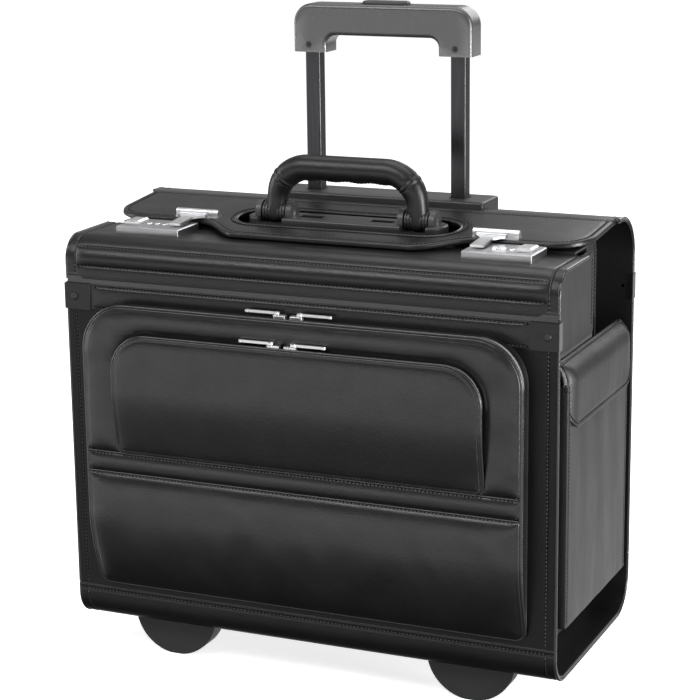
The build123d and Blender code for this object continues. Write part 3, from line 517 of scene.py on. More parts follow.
def plate(name, cut, place, lift, thickness, body, material, slot, under=None):
    """Piece over a cut region. place gives points and normals; lift is the outer relief."""
    base, normal = place(cut.uv)
    outer = base + normal * np.asarray(lift)[:, None]
    below = -thickness if under is None else under
    inner = base + normal * np.broadcast_to(np.asarray(below, float), (len(base),))[:, None]
    count = len(base)
    faces = [tuple(f) for f in cut.faces]
    faces += [(c + count, b + count, a + count) for a, b, c in cut.faces]
    faces += [(b, a, a + count, b + count) for a, b in cut.border()]
    return finish_mesh(name, np.concatenate([outer, inner]), faces, body, material, slot, sharp=50)


def inflated(cut, place, pinned, slack=0.03, pressure=4.0, frames=16):
    """Lift of a cloth held at its pinned points and blown up from behind, by simulation."""
    base, normal = place(cut.uv)
    mesh = bpy.data.meshes.new("trial")
    centre_face = cut.faces[len(cut.faces) // 2]
    p = base[centre_face]
    turned = np.cross(p[1] - p[0], p[2] - p[0]) @ normal[centre_face[0]] > 0
    faces = [tuple(map(int, f if turned else f[::-1])) for f in cut.faces]
    mesh.from_pydata([tuple(map(float, v)) for v in base], [], faces)
    obj = bpy.data.objects.new("trial", mesh)
    bpy.context.scene.collection.objects.link(obj)
    group = obj.vertex_groups.new(name="pin")
    group.add([int(i) for i in np.flatnonzero(pinned)], 1.0, "REPLACE")
    cloth = obj.modifiers.new("Cloth", "CLOTH")
    settings = cloth.settings
    settings.quality = 6
    settings.mass = 0.15
    settings.tension_stiffness = settings.compression_stiffness = 12
    settings.shear_stiffness = 6
    settings.bending_stiffness = 2.5
    settings.vertex_group_mass = "pin"
    settings.use_pressure = True
    settings.uniform_pressure_force = pressure
    settings.shrink_min = -slack
    settings.effector_weights.gravity = 0
    cloth.collision_settings.use_collision = False
    cloth.point_cache.frame_start = 1
    cloth.point_cache.frame_end = frames
    scene = bpy.context.scene
    for step in range(1, frames + 1):
        scene.frame_set(step)
    shaped = obj.evaluated_get(bpy.context.evaluated_depsgraph_get()).to_mesh()
    moved = np.zeros(len(base) * 3)
    shaped.vertices.foreach_get("co", moved)
    scene.frame_set(1)
    bpy.data.objects.remove(obj)
    return np.sum((moved.reshape(-1, 3) - base) * normal, 1)


def eased(cut, values, rounds):
    """Values of a cut's points, averaged with their neighbours a few times."""
    corners = np.concatenate([np.asarray(f) for f in cut.faces])
    owner = np.repeat(np.arange(len(cut.faces)), [len(f) for f in cut.faces])
    sizes = np.bincount(owner)
    uses = np.bincount(corners, minlength=len(values))
    for _ in range(rounds):
        means = np.bincount(owner, values[corners]) / sizes
        spread = np.bincount(corners, means[owner], minlength=len(values)) / np.maximum(uses, 1)
        values = np.where(uses > 0, spread, values)
    return values


def crowned(cut, place, regions, pinned, slack=0.03):
    """Padded lift by region: simulated cloth, scaled to each region's own crown height."""
    lift = np.zeros(len(cut.uv))
    mark_gap = to_segments(cut.uv, cut.marks) if cut.marks else 1
    gaps = np.where(pinned, 0.0, np.minimum(cut.edge_gap, mark_gap))
    blown = inflated(cut, place, pinned, slack)
    for chosen, crown, ramp in regions:
        rise = np.sqrt(np.maximum(1 - (1 - np.clip(gaps / ramp, 0, 1)) ** 2, 0))
        if blown is not None and blown[chosen].max() > 0.2 * MM:
            share = np.clip(blown / np.percentile(blown[chosen], 97), 0, 1.15)
            share = eased(cut, share, 3)[chosen] * np.clip(gaps[chosen] / ramp * 3, 0, 1)
            lift[chosen] = crown * (0.3 * share + 0.7 * rise[chosen])
        else:
            lift[chosen] = crown * rise[chosen]
    return lift


# ---- materials
def node(tree, kind, **values):
    """New shader node with its settings."""
    made = tree.nodes.new(kind)
    for key, value in values.items():
        setattr(made, key, value)
    return made


def noise(tree, coords, scale, detail=3.0, rough=0.55, stretch=None):
    """Noise value over the object's own coordinates."""
    if stretch is not None:
        mapping = node(tree, "ShaderNodeMapping")
        mapping.inputs["Scale"].default_value = stretch
        tree.links.new(coords, mapping.inputs["Vector"])
        coords = mapping.outputs["Vector"]
    made = node(tree, "ShaderNodeTexNoise")
    made.inputs["Scale"].default_value = scale
    made.inputs["Detail"].default_value = detail
    made.inputs["Roughness"].default_value = rough
    tree.links.new(coords, made.inputs["Vector"])
    return made.outputs["Fac"]


def ranged(tree, value, low, high, to_low, to_high):
    """A value mapped from one range to another."""
    made = node(tree, "ShaderNodeMapRange")
    for key, number in zip(("From Min", "From Max", "To Min", "To Max"), (low, high, to_low, to_high)):
        made.inputs[key].default_value = number
    tree.links.new(value, made.inputs["Value"])
    return made.outputs["Result"]


def mixed(tree, factor, a, b):
    """Mix of two colours by a factor."""
    made = node(tree, "ShaderNodeMix", data_type="RGBA")
    for socket, colour in (("A", a), ("B", b)):
        target = [i for i in made.inputs if i.name == socket and i.type == "RGBA"][0]
        if isinstance(colour, tuple):
            target.default_value = (*colour, 1)
        else:
            tree.links.new(colour, target)
    factor_in = [i for i in made.inputs if i.name == "Factor" and i.type == "VALUE"][0]
    tree.links.new(factor, factor_in)
    return [o for o in made.outputs if o.type == "RGBA"][0]


def bumped(tree, height, strength, distance, below=None):
    """Bump normal from a height, over an earlier bump."""
    made = node(tree, "ShaderNodeBump")
    made.inputs["Strength"].default_value = strength
    made.inputs["Distance"].default_value = distance
    tree.links.new(height, made.inputs["Height"])
    if below is not None:
        tree.links.new(below, made.inputs["Normal"])
    return made.outputs["Normal"]


def start(name, metallic=0.0, specular=0.5, sheen=0.0, coat=0.0, coat_rough=0.2):
    """Empty material with its shader and object coordinates."""
    made = bpy.data.materials.new(name)
    made.use_nodes = True
    tree = made.node_tree
    shader = tree.nodes["Principled BSDF"]
    shader.inputs["Metallic"].default_value = metallic
    shader.inputs["Specular IOR Level"].default_value = specular
    shader.inputs["Sheen Weight"].default_value = sheen
    shader.inputs["Coat Weight"].default_value = coat
    shader.inputs["Coat Roughness"].default_value = coat_rough
    coords = node(tree, "ShaderNodeTexCoord").outputs["Object"]
    return made, tree, shader, coords


def worn(tree, colour, worn_colour, low=0.52, high=0.62, amount=0.8):
    """Colour that turns to a rubbed one along raised edges."""
    raised = node(tree, "ShaderNodeNewGeometry").outputs["Pointiness"]
    return mixed(tree, ranged(tree, raised, low, high, 0, amount), colour, worn_colour)


def leather(name, dark, light, rough, grain=900, depth=0.35, streak=None, specular=0.5):
    """Finished leather: pebbled grain, soft creases, uneven polish and rubbed edges."""
    made, tree, shader, coords = start(name, specular=specular, coat=0.06, coat_rough=0.35)
    cloud = noise(tree, coords, 14, 4)
    cells = node(tree, "ShaderNodeTexVoronoi", feature="SMOOTH_F1")
    cells.inputs["Scale"].default_value = grain
    cells.inputs["Smoothness"].default_value = 0.6
    warp = noise(tree, coords, 240, 2)
    tree.links.new(coords, cells.inputs["Vector"])
    base = mixed(tree, ranged(tree, cloud, 0.3, 0.7, 0, 1), dark, light)
    pits = ranged(tree, cells.outputs["Distance"], 0.0, 0.7, 0.35, 0.0)
    base = mixed(tree, pits, base, tuple(c * 0.45 for c in dark))
    tree.links.new(worn(tree, base, tuple(c * 2.1 for c in light)), shader.inputs["Base Color"])
    polish = noise(tree, coords, 26, 5, 0.6, streak)
    tree.links.new(ranged(tree, polish, 0.25, 0.75, rough - 0.05, rough + 0.07), shader.inputs["Roughness"])
    normal = bumped(tree, cells.outputs["Distance"], depth, 0.00035)
    normal = bumped(tree, warp, depth * 0.55, 0.0006, normal)
    crease = noise(tree, coords, 42, 3, 0.5, streak)
    normal = bumped(tree, crease, 0.16, 0.0012, normal)
    tree.links.new(normal, shader.inputs["Normal"])
    return made


def facing(tree):
    """Parts X, Y and Z of the direction a surface faces."""
    split = node(tree, "ShaderNodeSeparateXYZ")
    tree.links.new(node(tree, "ShaderNodeNewGeometry").outputs["Normal"], split.inputs["Vector"])
    return split.outputs


def metal(name, colour, rough, brushed, painted_side_shade=None, wear=0.1, metallic=1.0, bare_leg_and_highlight=None):
    """Plated or brushed metal with fine scratches and uneven polish, with optional painted shade on faces
    turned away from above and an optional painted highlight on faces turned to the sides.
    """
    made, tree, shader, coords = start(name, metallic=metallic)
    smear = noise(tree, coords, 60, 4)
    fine = noise(tree, coords, 900, 2, 0.5, brushed)
    base = mixed(tree, ranged(tree, smear, 0.3, 0.7, 0, 1), colour, tuple(c * 0.82 for c in colour))
    if painted_side_shade is not None:
        # painted shade: faces turned sideways and down take a dark colour
        base = mixed(tree, ranged(tree, facing(tree)["Z"], 0.2, 0.7, 0, 1), painted_side_shade, base)
    if bare_leg_and_highlight is not None:
        # faces turned to either side take a bright colour: bare metal of the legs, lightened as a painted
        # highlight
        sideways = node(tree, "ShaderNodeMath", operation="ABSOLUTE")
        tree.links.new(facing(tree)["X"], sideways.inputs[0])
        base = mixed(tree, ranged(tree, sideways.outputs[0], 0.4, 0.8, 0, 1), base, bare_leg_and_highlight)
    tree.links.new(worn(tree, base, tuple(min(1, c * 1.3) for c in colour)), shader.inputs["Base Color"])
    polish = ranged(tree, fine, 0.3, 0.7, rough * (1 - wear), rough * (1 + 3 * wear))
    tree.links.new(polish, shader.inputs["Roughness"])
    normal = bumped(tree, fine, 0.08, 0.0002)
    tree.links.new(bumped(tree, smear, 0.05, 0.0008, normal), shader.inputs["Normal"])
    return made


def plastic(name, dark, light, rough, texture, depth, specular=0.5):
    """Moulded plastic or rubber with a spark-eroded texture, dust and rubbed edges."""
    made, tree, shader, coords = start(name, specular=specular)
    cloud = noise(tree, coords, 22, 5)
    fine = noise(tree, coords, texture, 3, 0.6)
    base = mixed(tree, ranged(tree, cloud, 0.3, 0.75, 0, 1), dark, light)
    tree.links.new(worn(tree, base, tuple(c * 2.6 for c in light)), shader.inputs["Base Color"])
    tree.links.new(ranged(tree, cloud, 0.2, 0.8, rough - 0.06, rough + 0.08), shader.inputs["Roughness"])
    normal = bumped(tree, fine, depth, 0.0003)
    tree.links.new(bumped(tree, cloud, 0.06, 0.001, normal), shader.inputs["Normal"])
    return made


def woven(name, dark, light, pitch, rough=0.85):
    """Plain weave of two thread directions, with a slight nap."""
    made, tree, shader, coords = start(name, specular=0.25, sheen=0.35)
    shader.inputs["Sheen Roughness"].default_value = 0.5
    heights = []
    for axis in ("X", "Y", "Z"):
        wave = node(tree, "ShaderNodeTexWave", wave_type="BANDS", bands_direction=axis)
        wave.inputs["Scale"].default_value = pitch
        wave.inputs["Distortion"].default_value = 0.4
        tree.links.new(coords, wave.inputs["Vector"])
        heights.append(wave.outputs["Fac"])
    total = heights[0]
    for more in heights[1:]:
        adder = node(tree, "ShaderNodeMath", operation="ADD")
        tree.links.new(total, adder.inputs[0])
        tree.links.new(more, adder.inputs[1])
        total = adder.outputs[0]
    cloud = noise(tree, coords, 30, 4)
    base = mixed(tree, ranged(tree, total, 0.4, 2.4, 0, 1), dark, light)
    base = mixed(tree, ranged(tree, cloud, 0.3, 0.8, 0, 0.5), base, dark)
    tree.links.new(base, shader.inputs["Base Color"])
    tree.links.new(ranged(tree, cloud, 0.2, 0.8, rough - 0.08, rough + 0.08), shader.inputs["Roughness"])
    tree.links.new(bumped(tree, total, 0.4, 0.0004), shader.inputs["Normal"])
    return made


shell_material = leather("shell_leather", (0.0062, 0.0064, 0.0067), (0.0098, 0.01, 0.0103), 0.33, specular=0.33)
pocket_material = leather("pocket_leather", (0.006, 0.0062, 0.0065), (0.0092, 0.0094, 0.0098), 0.31, 1000, 0.25)
matte_material = leather(
    "matte_leather", (0.0075, 0.0077, 0.008), (0.0125, 0.0127, 0.013), 0.43, 1200, 0.4, (3.0, 3.0, 0.8), 0.42
)
binding_material = leather("binding_leather", (0.01, 0.0102, 0.0105), (0.016, 0.0162, 0.0166), 0.2, 1100, 0.12)
thread_material = plastic("thread", (0.008, 0.008, 0.008), (0.022, 0.022, 0.023), 0.4, 2600, 0.5)
# needle-hole discs: near black, as painted shade
needle_hole_shade_material = plastic("needle_hole_shade", (0.0015, 0.0015, 0.0015), (0.003, 0.003, 0.003), 0.9, 1500, 0.3, 0.1)
chrome_material = metal("chrome", (0.6, 0.6, 0.61), 0.3, (1, 1, 1))
# lock bodies: sides and undersides painted dark as shade, tops left bright chrome
lock_material = metal("lock_chrome", (0.52, 0.52, 0.53), 0.34, (0.06, 1, 1), (0.1, 0.1, 0.104))
nickel_material = metal("satin_nickel", (0.6, 0.6, 0.61), 0.4, (1, 1, 1))
steel_material = metal("steel", (0.55, 0.55, 0.56), 0.3, (1, 1, 1))
# front wall: a darker, duller copy of the shell leather, as painted shade for the wall behind the pockets
shaded_wall_material = leather("wall_leather_painted_shade", (0.0048, 0.005, 0.0052), (0.0075, 0.0077, 0.008), 0.36, specular=0.16)
black_steel_material = metal("black_steel", (0.035, 0.035, 0.037), 0.38, (1, 1, 1), metallic=0.55)
# corner clips: black steel whose sideways faces are painted bright, partly bare metal and partly painted
# highlight
clip_material = metal(
    "clip_steel", (0.02, 0.02, 0.021), 0.36, (1, 1, 1), metallic=0.7, bare_leg_and_highlight=(0.62, 0.62, 0.63)
)
anodised_material = metal("anodised", (0.028, 0.028, 0.03), 0.27, (1, 1, 0.03), metallic=0.75)
dial_material = metal("dial_metal", (0.72, 0.72, 0.73), 0.25, (1, 1, 1))
grip_material = plastic("grip_plastic", (0.036, 0.0365, 0.037), (0.05, 0.0505, 0.051), 0.27, 1500, 0.3, 0.8)
plastic_material = plastic("black_plastic", (0.011, 0.011, 0.0115), (0.019, 0.019, 0.0195), 0.4, 1300, 0.35)
foot_material = plastic("foot_rubber", (0.007, 0.007, 0.0074), (0.011, 0.011, 0.0114), 0.5, 1100, 0.4, 0.25)
tread_material = plastic("tread", (0.014, 0.014, 0.014), (0.024, 0.024, 0.024), 0.62, 900, 0.5)
# recessed side panels: leather several times lighter than the shell leather, as a painted reflection of the
# bright surroundings
recess_reflection_material = leather("recess_leather_painted_reflection", (0.02, 0.02, 0.021), (0.034, 0.034, 0.035), 0.5, 1200, 0.4)
lining_material = woven("lining", (0.012, 0.012, 0.013), (0.03, 0.03, 0.032), 420)
tape_material = woven("zip_tape", (0.006, 0.006, 0.006), (0.016, 0.016, 0.016), 900, 0.75)
coil_material = plastic("zip_coil", (0.05, 0.05, 0.052), (0.11, 0.11, 0.114), 0.24, 2000, 0.2, 0.8)

CASE_SHELL = ("case", shell_material, "shell_leather")
CASE_BINDING = ("case", binding_material, "shell_leather")
POCKET_LEATHER = ("case", pocket_material, "pocket_leather")
POCKET_BINDING = ("case", binding_material, "pocket_leather")
POCKET_MATTE = ("case", matte_material, "pocket_leather")
CASE_MATTE = ("case", matte_material, "shell_leather")

# ---- the wrap: front wall, bottom and back wall
side_marks = (-half_width + seam_inset, half_width - seam_inset)
across = lines(-half_width, half_width, 6 * MM, side_marks)


def side_relief(x, amount=1.0):
    """Side seams and rolled side edges of a wrap sheet."""
    edge = half_width - np.abs(x)
    return amount * groove(edge - seam_inset) + rolled(edge)


front_path = Path([(case_front, front_seam_z), (case_front, front_hinge_z)], [])


def front_relief(x, s):
    """Seams and a faint unevenness of the front wall."""
    return side_relief(x) + 0.25 * MM * np.sin(x * 9 + 1.3) * np.sin(s * 15)


front_sheet = Sheet(front_path, (0, 1, 2), front_relief)
# darker leather here: painted shade behind the pockets
front_skin = swept(
    "front_wall_skin",
    front_sheet,
    across,
    lines(0, front_path.length, 7 * MM),
    wall,
    "case",
    shaded_wall_material,
    "shell_leather",
)
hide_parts("front_panel")

bottom_path = Path(
    [
        (case_front, front_seam_z),
        (case_front, case_bottom),
        (case_back, case_bottom),
        (case_back, back_seam_z),
    ],
    [front_radius, back_radius],
    -1,
)
lap = 4.5 * MM


def bottom_relief(x, s):
    """Seams of the bottom wrap, and the laps over the walls at its ends."""
    ends = np.minimum(s, bottom_path.length - s)
    raised = 0.5 * MM * (1 - smooth((ends - 6 * MM) / (6 * MM)))
    return side_relief(x) + groove(ends - lap) + rolled(ends, 0.9 * MM) + raised


bottom_sheet = Sheet(bottom_path, (0, 1, 2), bottom_relief)
housing_x = [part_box("wheel_tyre_right")[i].x for i in (0, 1)]
housing_mid = sum(housing_x) / 2
housing_half = (housing_x[1] - housing_x[0]) / 2 + 6 * MM
axle_y = (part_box("wheel_tyre_right")[0].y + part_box("wheel_tyre_right")[1].y) / 2
notch_x = [s * (housing_mid + e * housing_half) for s in (-1, 1) for e in (-1, 1)]
head_x = [s * (housing_mid + e * (housing_half + 2.5 * MM)) for s in (-1, 1) for e in (-1, 1)]
notch_s = [
    bottom_path.nearest((housing_low.y, case_bottom)),
    bottom_path.nearest((case_back, housing_high.z)),
]
head_s = [bottom_path.nearest((axle_y + e * 7 * MM, case_bottom + 1 * MM)) for e in (-1, 1)]


def wheel_opening(middle):
    """Cells that the wheel housings and axle heads go through."""
    away = np.abs(np.abs(middle[..., 0]) - housing_mid)
    behind = (middle[..., 1] > housing_low.y) & (middle[..., 2] < housing_high.z)
    head = (np.abs(middle[..., 1] - axle_y) < 7 * MM) & (middle[..., 2] < housing_high.z)
    return ((away < housing_half) & behind) | ((away < housing_half + 2.5 * MM) & head)


bottom_x = np.unique(np.concatenate([across, notch_x, head_x]))
bottom_s = lines(0, bottom_path.length, 4 * MM, (lap, bottom_path.length - lap))
bottom_s = np.unique(np.concatenate([bottom_s, notch_s, head_s]))
bottom_skin = swept(
    "bottom_skin", bottom_sheet, bottom_x, bottom_s, wall, *CASE_SHELL, wheel_opening
)
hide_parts("bottom_panel")

back_path = Path(
    [(case_back, back_seam_z), (case_back, case_top), (rear_hinge_y, case_top)], [top_radius], -1
)


def back_relief(x, s):
    """Seams of the back wall and the hem at the lid's hinge line."""
    end = back_path.length - s
    uneven = 0.2 * MM * np.sin(x * 8) * np.sin(s * 11)
    return side_relief(x) + groove(end - hem) + rolled(end) + uneven


back_sheet = Sheet(back_path, (0, 1, 2), back_relief)


def bezel_opening(middle):
    """Cells that the handle's bezel fills."""
    wide = np.abs(middle[..., 0]) < bezel_high.x
    return wide & (middle[..., 2] > bezel_low.z) & (middle[..., 1] > bezel_low.y)


back_x = np.unique(np.concatenate([across, [bezel_low.x, bezel_high.x]]))
back_s = lines(0, back_path.length, 5 * MM, (back_path.length - hem,))
bezel_s = [
    back_path.nearest((case_back, bezel_low.z)),
    back_path.nearest((bezel_low.y, case_top)),
]
back_s = np.unique(np.concatenate([back_s, bezel_s]))
back_skin = swept(
    "back_wall_skin", back_sheet, back_x, back_s, wall, *CASE_SHELL, bezel_opening
)
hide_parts("back_panel")

wrap_runs = []
for s in SIDES.values():
    seam_x = s * (half_width - seam_inset)
    wrap_runs.append(run_on(front_sheet, (seam_x, 2 * MM), (seam_x, front_path.length)))
    wrap_runs.append(run_on(bottom_sheet, (seam_x, 0), (seam_x, bottom_path.length), 500))
    wrap_runs.append(run_on(back_sheet, (seam_x, 0), (seam_x, back_path.length), 500))
inner_x = half_width - seam_inset
for reach in (lap, bottom_path.length - lap):
    wrap_runs.append(run_on(bottom_sheet, (-inner_x, reach), (inner_x, reach)))
hem_s = back_path.length - hem
bezel_end = bezel_high.x + 4 * MM
wrap_runs.append(run_on(back_sheet, (-inner_x, hem_s), (-bezel_end, hem_s)))
wrap_runs.append(run_on(back_sheet, (bezel_end, hem_s), (inner_x, hem_s)))
stitches("wrap_stitching", wrap_runs, "case")

# ---- reinforcement strips under the clips
strip_out = 1.5 * MM
clip_inner = half_width - 25 * MM
strip_seam = 2.4 * MM
for name, face, out in (("front", case_front, -1), ("rear", case_back, 1)):
    path = Path([(face + out * strip_out, strip_low), (face + out * strip_out, strip_high)], [], -out)

    def strip_relief(x, s, length=path.length):
        """Padded strip between two seams, flat under the clips."""
        open_part = smooth((clip_inner - 1 * MM - np.abs(x)) / (8 * MM))
        edge = np.minimum(s, length - s)
        bulge = 1.5 * MM * np.sqrt(np.maximum(1 - ((s - length / 2) / (length / 2 - strip_seam)) ** 2, 0))
        seam = groove(edge - strip_seam, 0.5 * MM, 0.9 * MM)
        return open_part * (bulge + seam) + rolled(edge, 0.8 * MM)

    sheet = Sheet(path, (0, 1, 2), strip_relief)
    strip = swept(
        f"{name}_strip_leather",
        sheet,
        lines(-half_width, half_width, 6 * MM, (-clip_inner, clip_inner)),
        lines(0, path.length, 1.3 * MM, (strip_seam, path.length - strip_seam)),
        strip_out,
        *CASE_SHELL,
    )
    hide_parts("reinforcement_strips")
    ends = clip_inner - 2 * MM
    runs = [run_on(sheet, (-ends, v), (ends, v)) for v in (strip_seam, path.length - strip_seam)]
    stitches(f"{name}_strip_stitching", runs, "case")

# ---- front lid
lid_path = Path(
    [(case_front, lid_bottom), (case_front, lid_top), (lid_back, lid_top)], [lid_radius], 1
)
seam_low = 14 * MM
seam_turn = 0.632
seam_high = lid_path.nearest(
    (
        case_front + lid_radius * (1 - math.cos(seam_turn)),
        lid_top - lid_radius + lid_radius * math.sin(seam_turn),
    )
)
crease = lid_path.nearest((case_front + lid_radius + 4 * MM, lid_top))


def pad_between(s, low, high, height):
    """Crown of a padded band between two seams."""
    t = np.clip((s - low) / (high - low), 0, 1)
    return height * np.sin(math.pi * t) ** 0.7


def lid_relief(x, s):
    """Sewn channels and padded bands of the front lid."""
    edge = half_width - np.abs(x)
    fade = smooth((edge - seam_inset) / (7 * MM))
    seams = groove(s - seam_low, 0.6 * MM) + groove(s - seam_high, 0.6 * MM)
    pads = pad_between(s, seam_low, seam_high, 2.2 * MM) + pad_between(s, 0.0, seam_low, 0.8 * MM)
    pads = pads + pad_between(s, seam_high, crease, 0.7 * MM)
    ridge = 0.5 * MM * np.exp(-(((s - crease) / (2.2 * MM)) ** 2))
    ends = np.minimum(s, lid_path.length - s)
    return side_relief(x) + fade * (seams + pads + ridge) + rolled(ends, 1.5 * MM)


lid_sheet = Sheet(lid_path, (0, 1, 2), lid_relief)
lid_s = lines(0, lid_path.length, 1.6 * MM, (seam_low, seam_high, crease))
pan_half_length, pan_half_width = 17 * MM, 9.5 * MM
pan_boxes = []
for side in SIDES:
    low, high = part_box(f"lock_body_{side}")
    x, y = (low.x + high.x) / 2, (low.y + high.y) / 2
    pan_boxes.append((x - pan_half_length, x + pan_half_length, y - pan_half_width, y + pan_half_width))


def pan_opening(middle):
    """Cells under the locks that their pans go through."""
    found = np.zeros(middle.shape[:2], bool)
    for x0, x1, y0, y1 in pan_boxes:
        found |= (
            (middle[..., 0] > x0)
            & (middle[..., 0] < x1)
            & (middle[..., 1] > y0)
            & (middle[..., 1] < y1)
            & (middle[..., 2] > lid_top - 6 * MM)
        )
    return found


pan_x = [v for b in pan_boxes for v in b[:2]]
pan_s = [lid_path.nearest((v, lid_top)) for v in pan_boxes[0][2:]]
front_lid_skin = swept(
    "front_lid_skin",
    lid_sheet,
    np.unique(np.concatenate([across, pan_x])),
    np.unique(np.concatenate([lid_s, pan_s])),
    wall,
    "front_lid",
    shell_material,
    "shell_leather",
    pan_opening,
)
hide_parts("front_lid")
lid_runs = []
for s in SIDES.values():
    seam_x = s * (half_width - seam_inset)
    lid_runs.append(run_on(lid_sheet, (seam_x, 1.5 * MM), (seam_x, lid_path.length - 3 * MM), 400))
for v in (seam_low, seam_high):
    lid_runs.append(run_on(lid_sheet, (-inner_x + 4 * MM, v), (inner_x - 4 * MM, v)))
stitches("front_lid_stitching", lid_runs, "front_lid")

# bound edges: rolled cords at both sides of each wrap sheet
binding_radius = 1.4 * MM


def bindings(name, sheet, s0, s1, body):
    """Rolled edge cords at both sides of a sheet."""
    for side, s in SIDES.items():
        reach = np.linspace(s0, s1, max(4, int((s1 - s0) / (2 * MM))))
        points = sheet.point(np.full(len(reach), s * (half_width - 0.3 * MM)), reach, -0.9 * MM, plain=True)[0]
        tube(f"{name}_binding_{side}", points, binding_radius, body, binding_material, "shell_leather")


bindings("front_lid", lid_sheet, 1.5 * MM, lid_path.length - 1.5 * MM, "front_lid")
bindings("front_wall", front_sheet, 0.5 * MM, front_path.length - 0.5 * MM, "case")
bindings("bottom", bottom_sheet, 0.5 * MM, bottom_path.length - 0.5 * MM, "case")
bindings("back_wall", back_sheet, 0.5 * MM, back_path.length - 0.5 * MM, "case")

# leather strips laid along the two lids' hinge lines
fold_wall = 0.45 * MM


def fold(name, path, x_half):
    """Thin leather strip, skived at its edges, laid along a hinge line and baked in place on no body."""

    def skived(x, s):
        """Thinner leather towards both ends."""
        return -0.8 * fold_wall * (1 - smooth(np.minimum(s, path.length - s) / (3.5 * MM)))

    sheet = Sheet(path, (0, 1, 2), skived)
    piece = swept(
        name,
        sheet,
        lines(-x_half, x_half, 12 * MM),
        lines(0, path.length, 0.7 * MM),
        fold_wall,
        None,
        binding_material,
        None,
    )
    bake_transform(piece)


fold_out = case_front - fold_wall - 0.02 * MM
front_fold_path = Path([(fold_out, front_hinge_z - 7 * MM), (fold_out, front_hinge_z + 8 * MM)], [])
fold(
    "front_hinge_fold",
    front_fold_path,
    half_width - 0.9 * MM,
)

# ---- rear lid: a stiff plate with a shaped front edge and a slot for the carry handle
lid_fall, lid_run = 10.0 * MM, 128.0 * MM
lid_tilt = math.atan2(lid_fall, lid_run)
lid_wall = 5.0 * MM
lid_along = np.array([0, math.cos(lid_tilt), math.sin(lid_tilt)])
lid_up = np.array([0, -math.sin(lid_tilt), math.cos(lid_tilt)])
lid_origin = np.array([0, rear_hinge_y, case_top])


def on_lid(y):
    """Distance along the lid for a place y of the case."""
    return (y - rear_hinge_y) / math.cos(lid_tilt)


def lid_place(uv):
    """Place on the rear lid's upper face."""
    normal = np.broadcast_to(lid_up, (len(uv), 3))
    return lid_origin + uv[:, :1] * np.array([1.0, 0, 0]) + uv[:, 1:] * lid_along, normal


lid_half = 232 * MM
tongue_v, shoulder_v = on_lid(case_front + 40 * MM), on_lid(case_front + 76 * MM)
tongue_x, shoulder_x, lid_corner = 84 * MM, 136 * MM, 36 * MM
swing = np.linspace(0, 1, 40)
curve_x = shoulder_x + (tongue_x - shoulder_x) * swing
curve_v = shoulder_v + (tongue_v - shoulder_v) * smooth(swing)
corner_turn = np.linspace(0, math.pi / 2, 24)
right_edge = [(lid_half, -1 * MM)]
right_edge += [
    (
        lid_half - lid_corner + lid_corner * math.cos(a),
        shoulder_v + lid_corner - lid_corner * math.sin(a),
    )
    for a in corner_turn
]
right_edge += list(zip(curve_x, curve_v))
right_edge = rounded(right_edge, [0.01 * MM] * (len(right_edge) - 2), 1.2 * MM)
half_outline = np.array(right_edge)
mirrored = half_outline[::-1] * np.array([-1, 1])
front_line = resampled(straight(half_outline[-1], mirrored[0]), 2 * MM)
outline = np.concatenate([half_outline, front_line, mirrored])
top_line = resampled(straight(mirrored[-1], half_outline[0]), 2 * MM)
lid_outline = np.concatenate([outline, top_line])[::-1]
slot_v = on_lid(handle_y)
slot_half, slot_reach, slot_radius = 108 * MM, 29 * MM, 28 * MM
slot_loop = rect_loop(-slot_half, slot_half, slot_v - slot_reach, slot_v + slot_reach, [slot_radius] * 4)
seam_loop_gap = 5.5 * MM
lid_rows = (0.3, 0.8, 1.5, 2.4, 3.6, 4.6, 5.5, 6.4, 8.0, 11.0)
lid_cut = Cut(lid_outline, [slot_loop], spacing=6 * MM, insets=lid_rows)
front_share = smooth((shoulder_v + 60 * MM - lid_cut.uv[:, 1]) / (60 * MM))
lid_lift = (
    rolled(lid_cut.edge_gap, 2.2 * MM)
    + groove(lid_cut.edge_gap - seam_loop_gap, 0.5 * MM)
    + 0.7 * MM * smooth((lid_cut.edge_gap - 6 * MM) / (25 * MM)) * (0.4 + 0.6 * front_share)
)
rear_lid_skin = plate(
    "rear_lid_skin",
    lid_cut,
    lid_place,
    lid_lift,
    0,
    "rear_lid",
    shell_material,
    "shell_leather",
    under=-lid_wall + np.clip(1.4 * MM - lid_cut.edge_gap, 0, 1.4 * MM) * 0.7,
)
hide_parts("rear_lid")


def loop_run(loop, place, sink=-0.2 * MM):
    """Stitch run along a loop on a flat place."""
    points, normal = place(loop)
    return points + normal * sink, normal


outer_seam = offset_loop(closed(lid_outline), seam_loop_gap)
outer_seam = unbroken(outer_seam[outer_seam[:, 1] < -4 * MM])
slot_seam = offset_loop(closed(slot_loop), -4.5 * MM)
lid_seams = [
    loop_run(outer_seam, lid_place, -0.3 * MM),
    loop_run(slot_seam, lid_place, 0.05 * MM),
    loop_run(np.array([(-lid_half + 8 * MM, -5 * MM), (lid_half - 8 * MM, -5 * MM)]), lid_place, -0.2 * MM),
]
stitches("rear_lid_stitching", lid_seams, "rear_lid")
slot_rim = lid_place(slot_loop[:-1])[0] + lid_up * -1.2 * MM
tube("handle_slot_rim", slot_rim, 1.3 * MM, "rear_lid", binding_material, "shell_leather", closed=True)

# the upper hinge line is a fold too
rear_fold_path = Path(
    [
        (rear_hinge_y + 8 * MM, case_top + fold_wall + 0.05 * MM),
        (rear_hinge_y, case_top + fold_wall + 0.05 * MM),
        (rear_hinge_y - 8 * MM * math.cos(lid_tilt), case_top + fold_wall - 8 * MM * math.sin(lid_tilt)),
    ],
    [30 * MM],
    -1,
)
fold(
    "rear_hinge_fold",
    rear_fold_path,
    lid_half - 1 * MM,
)

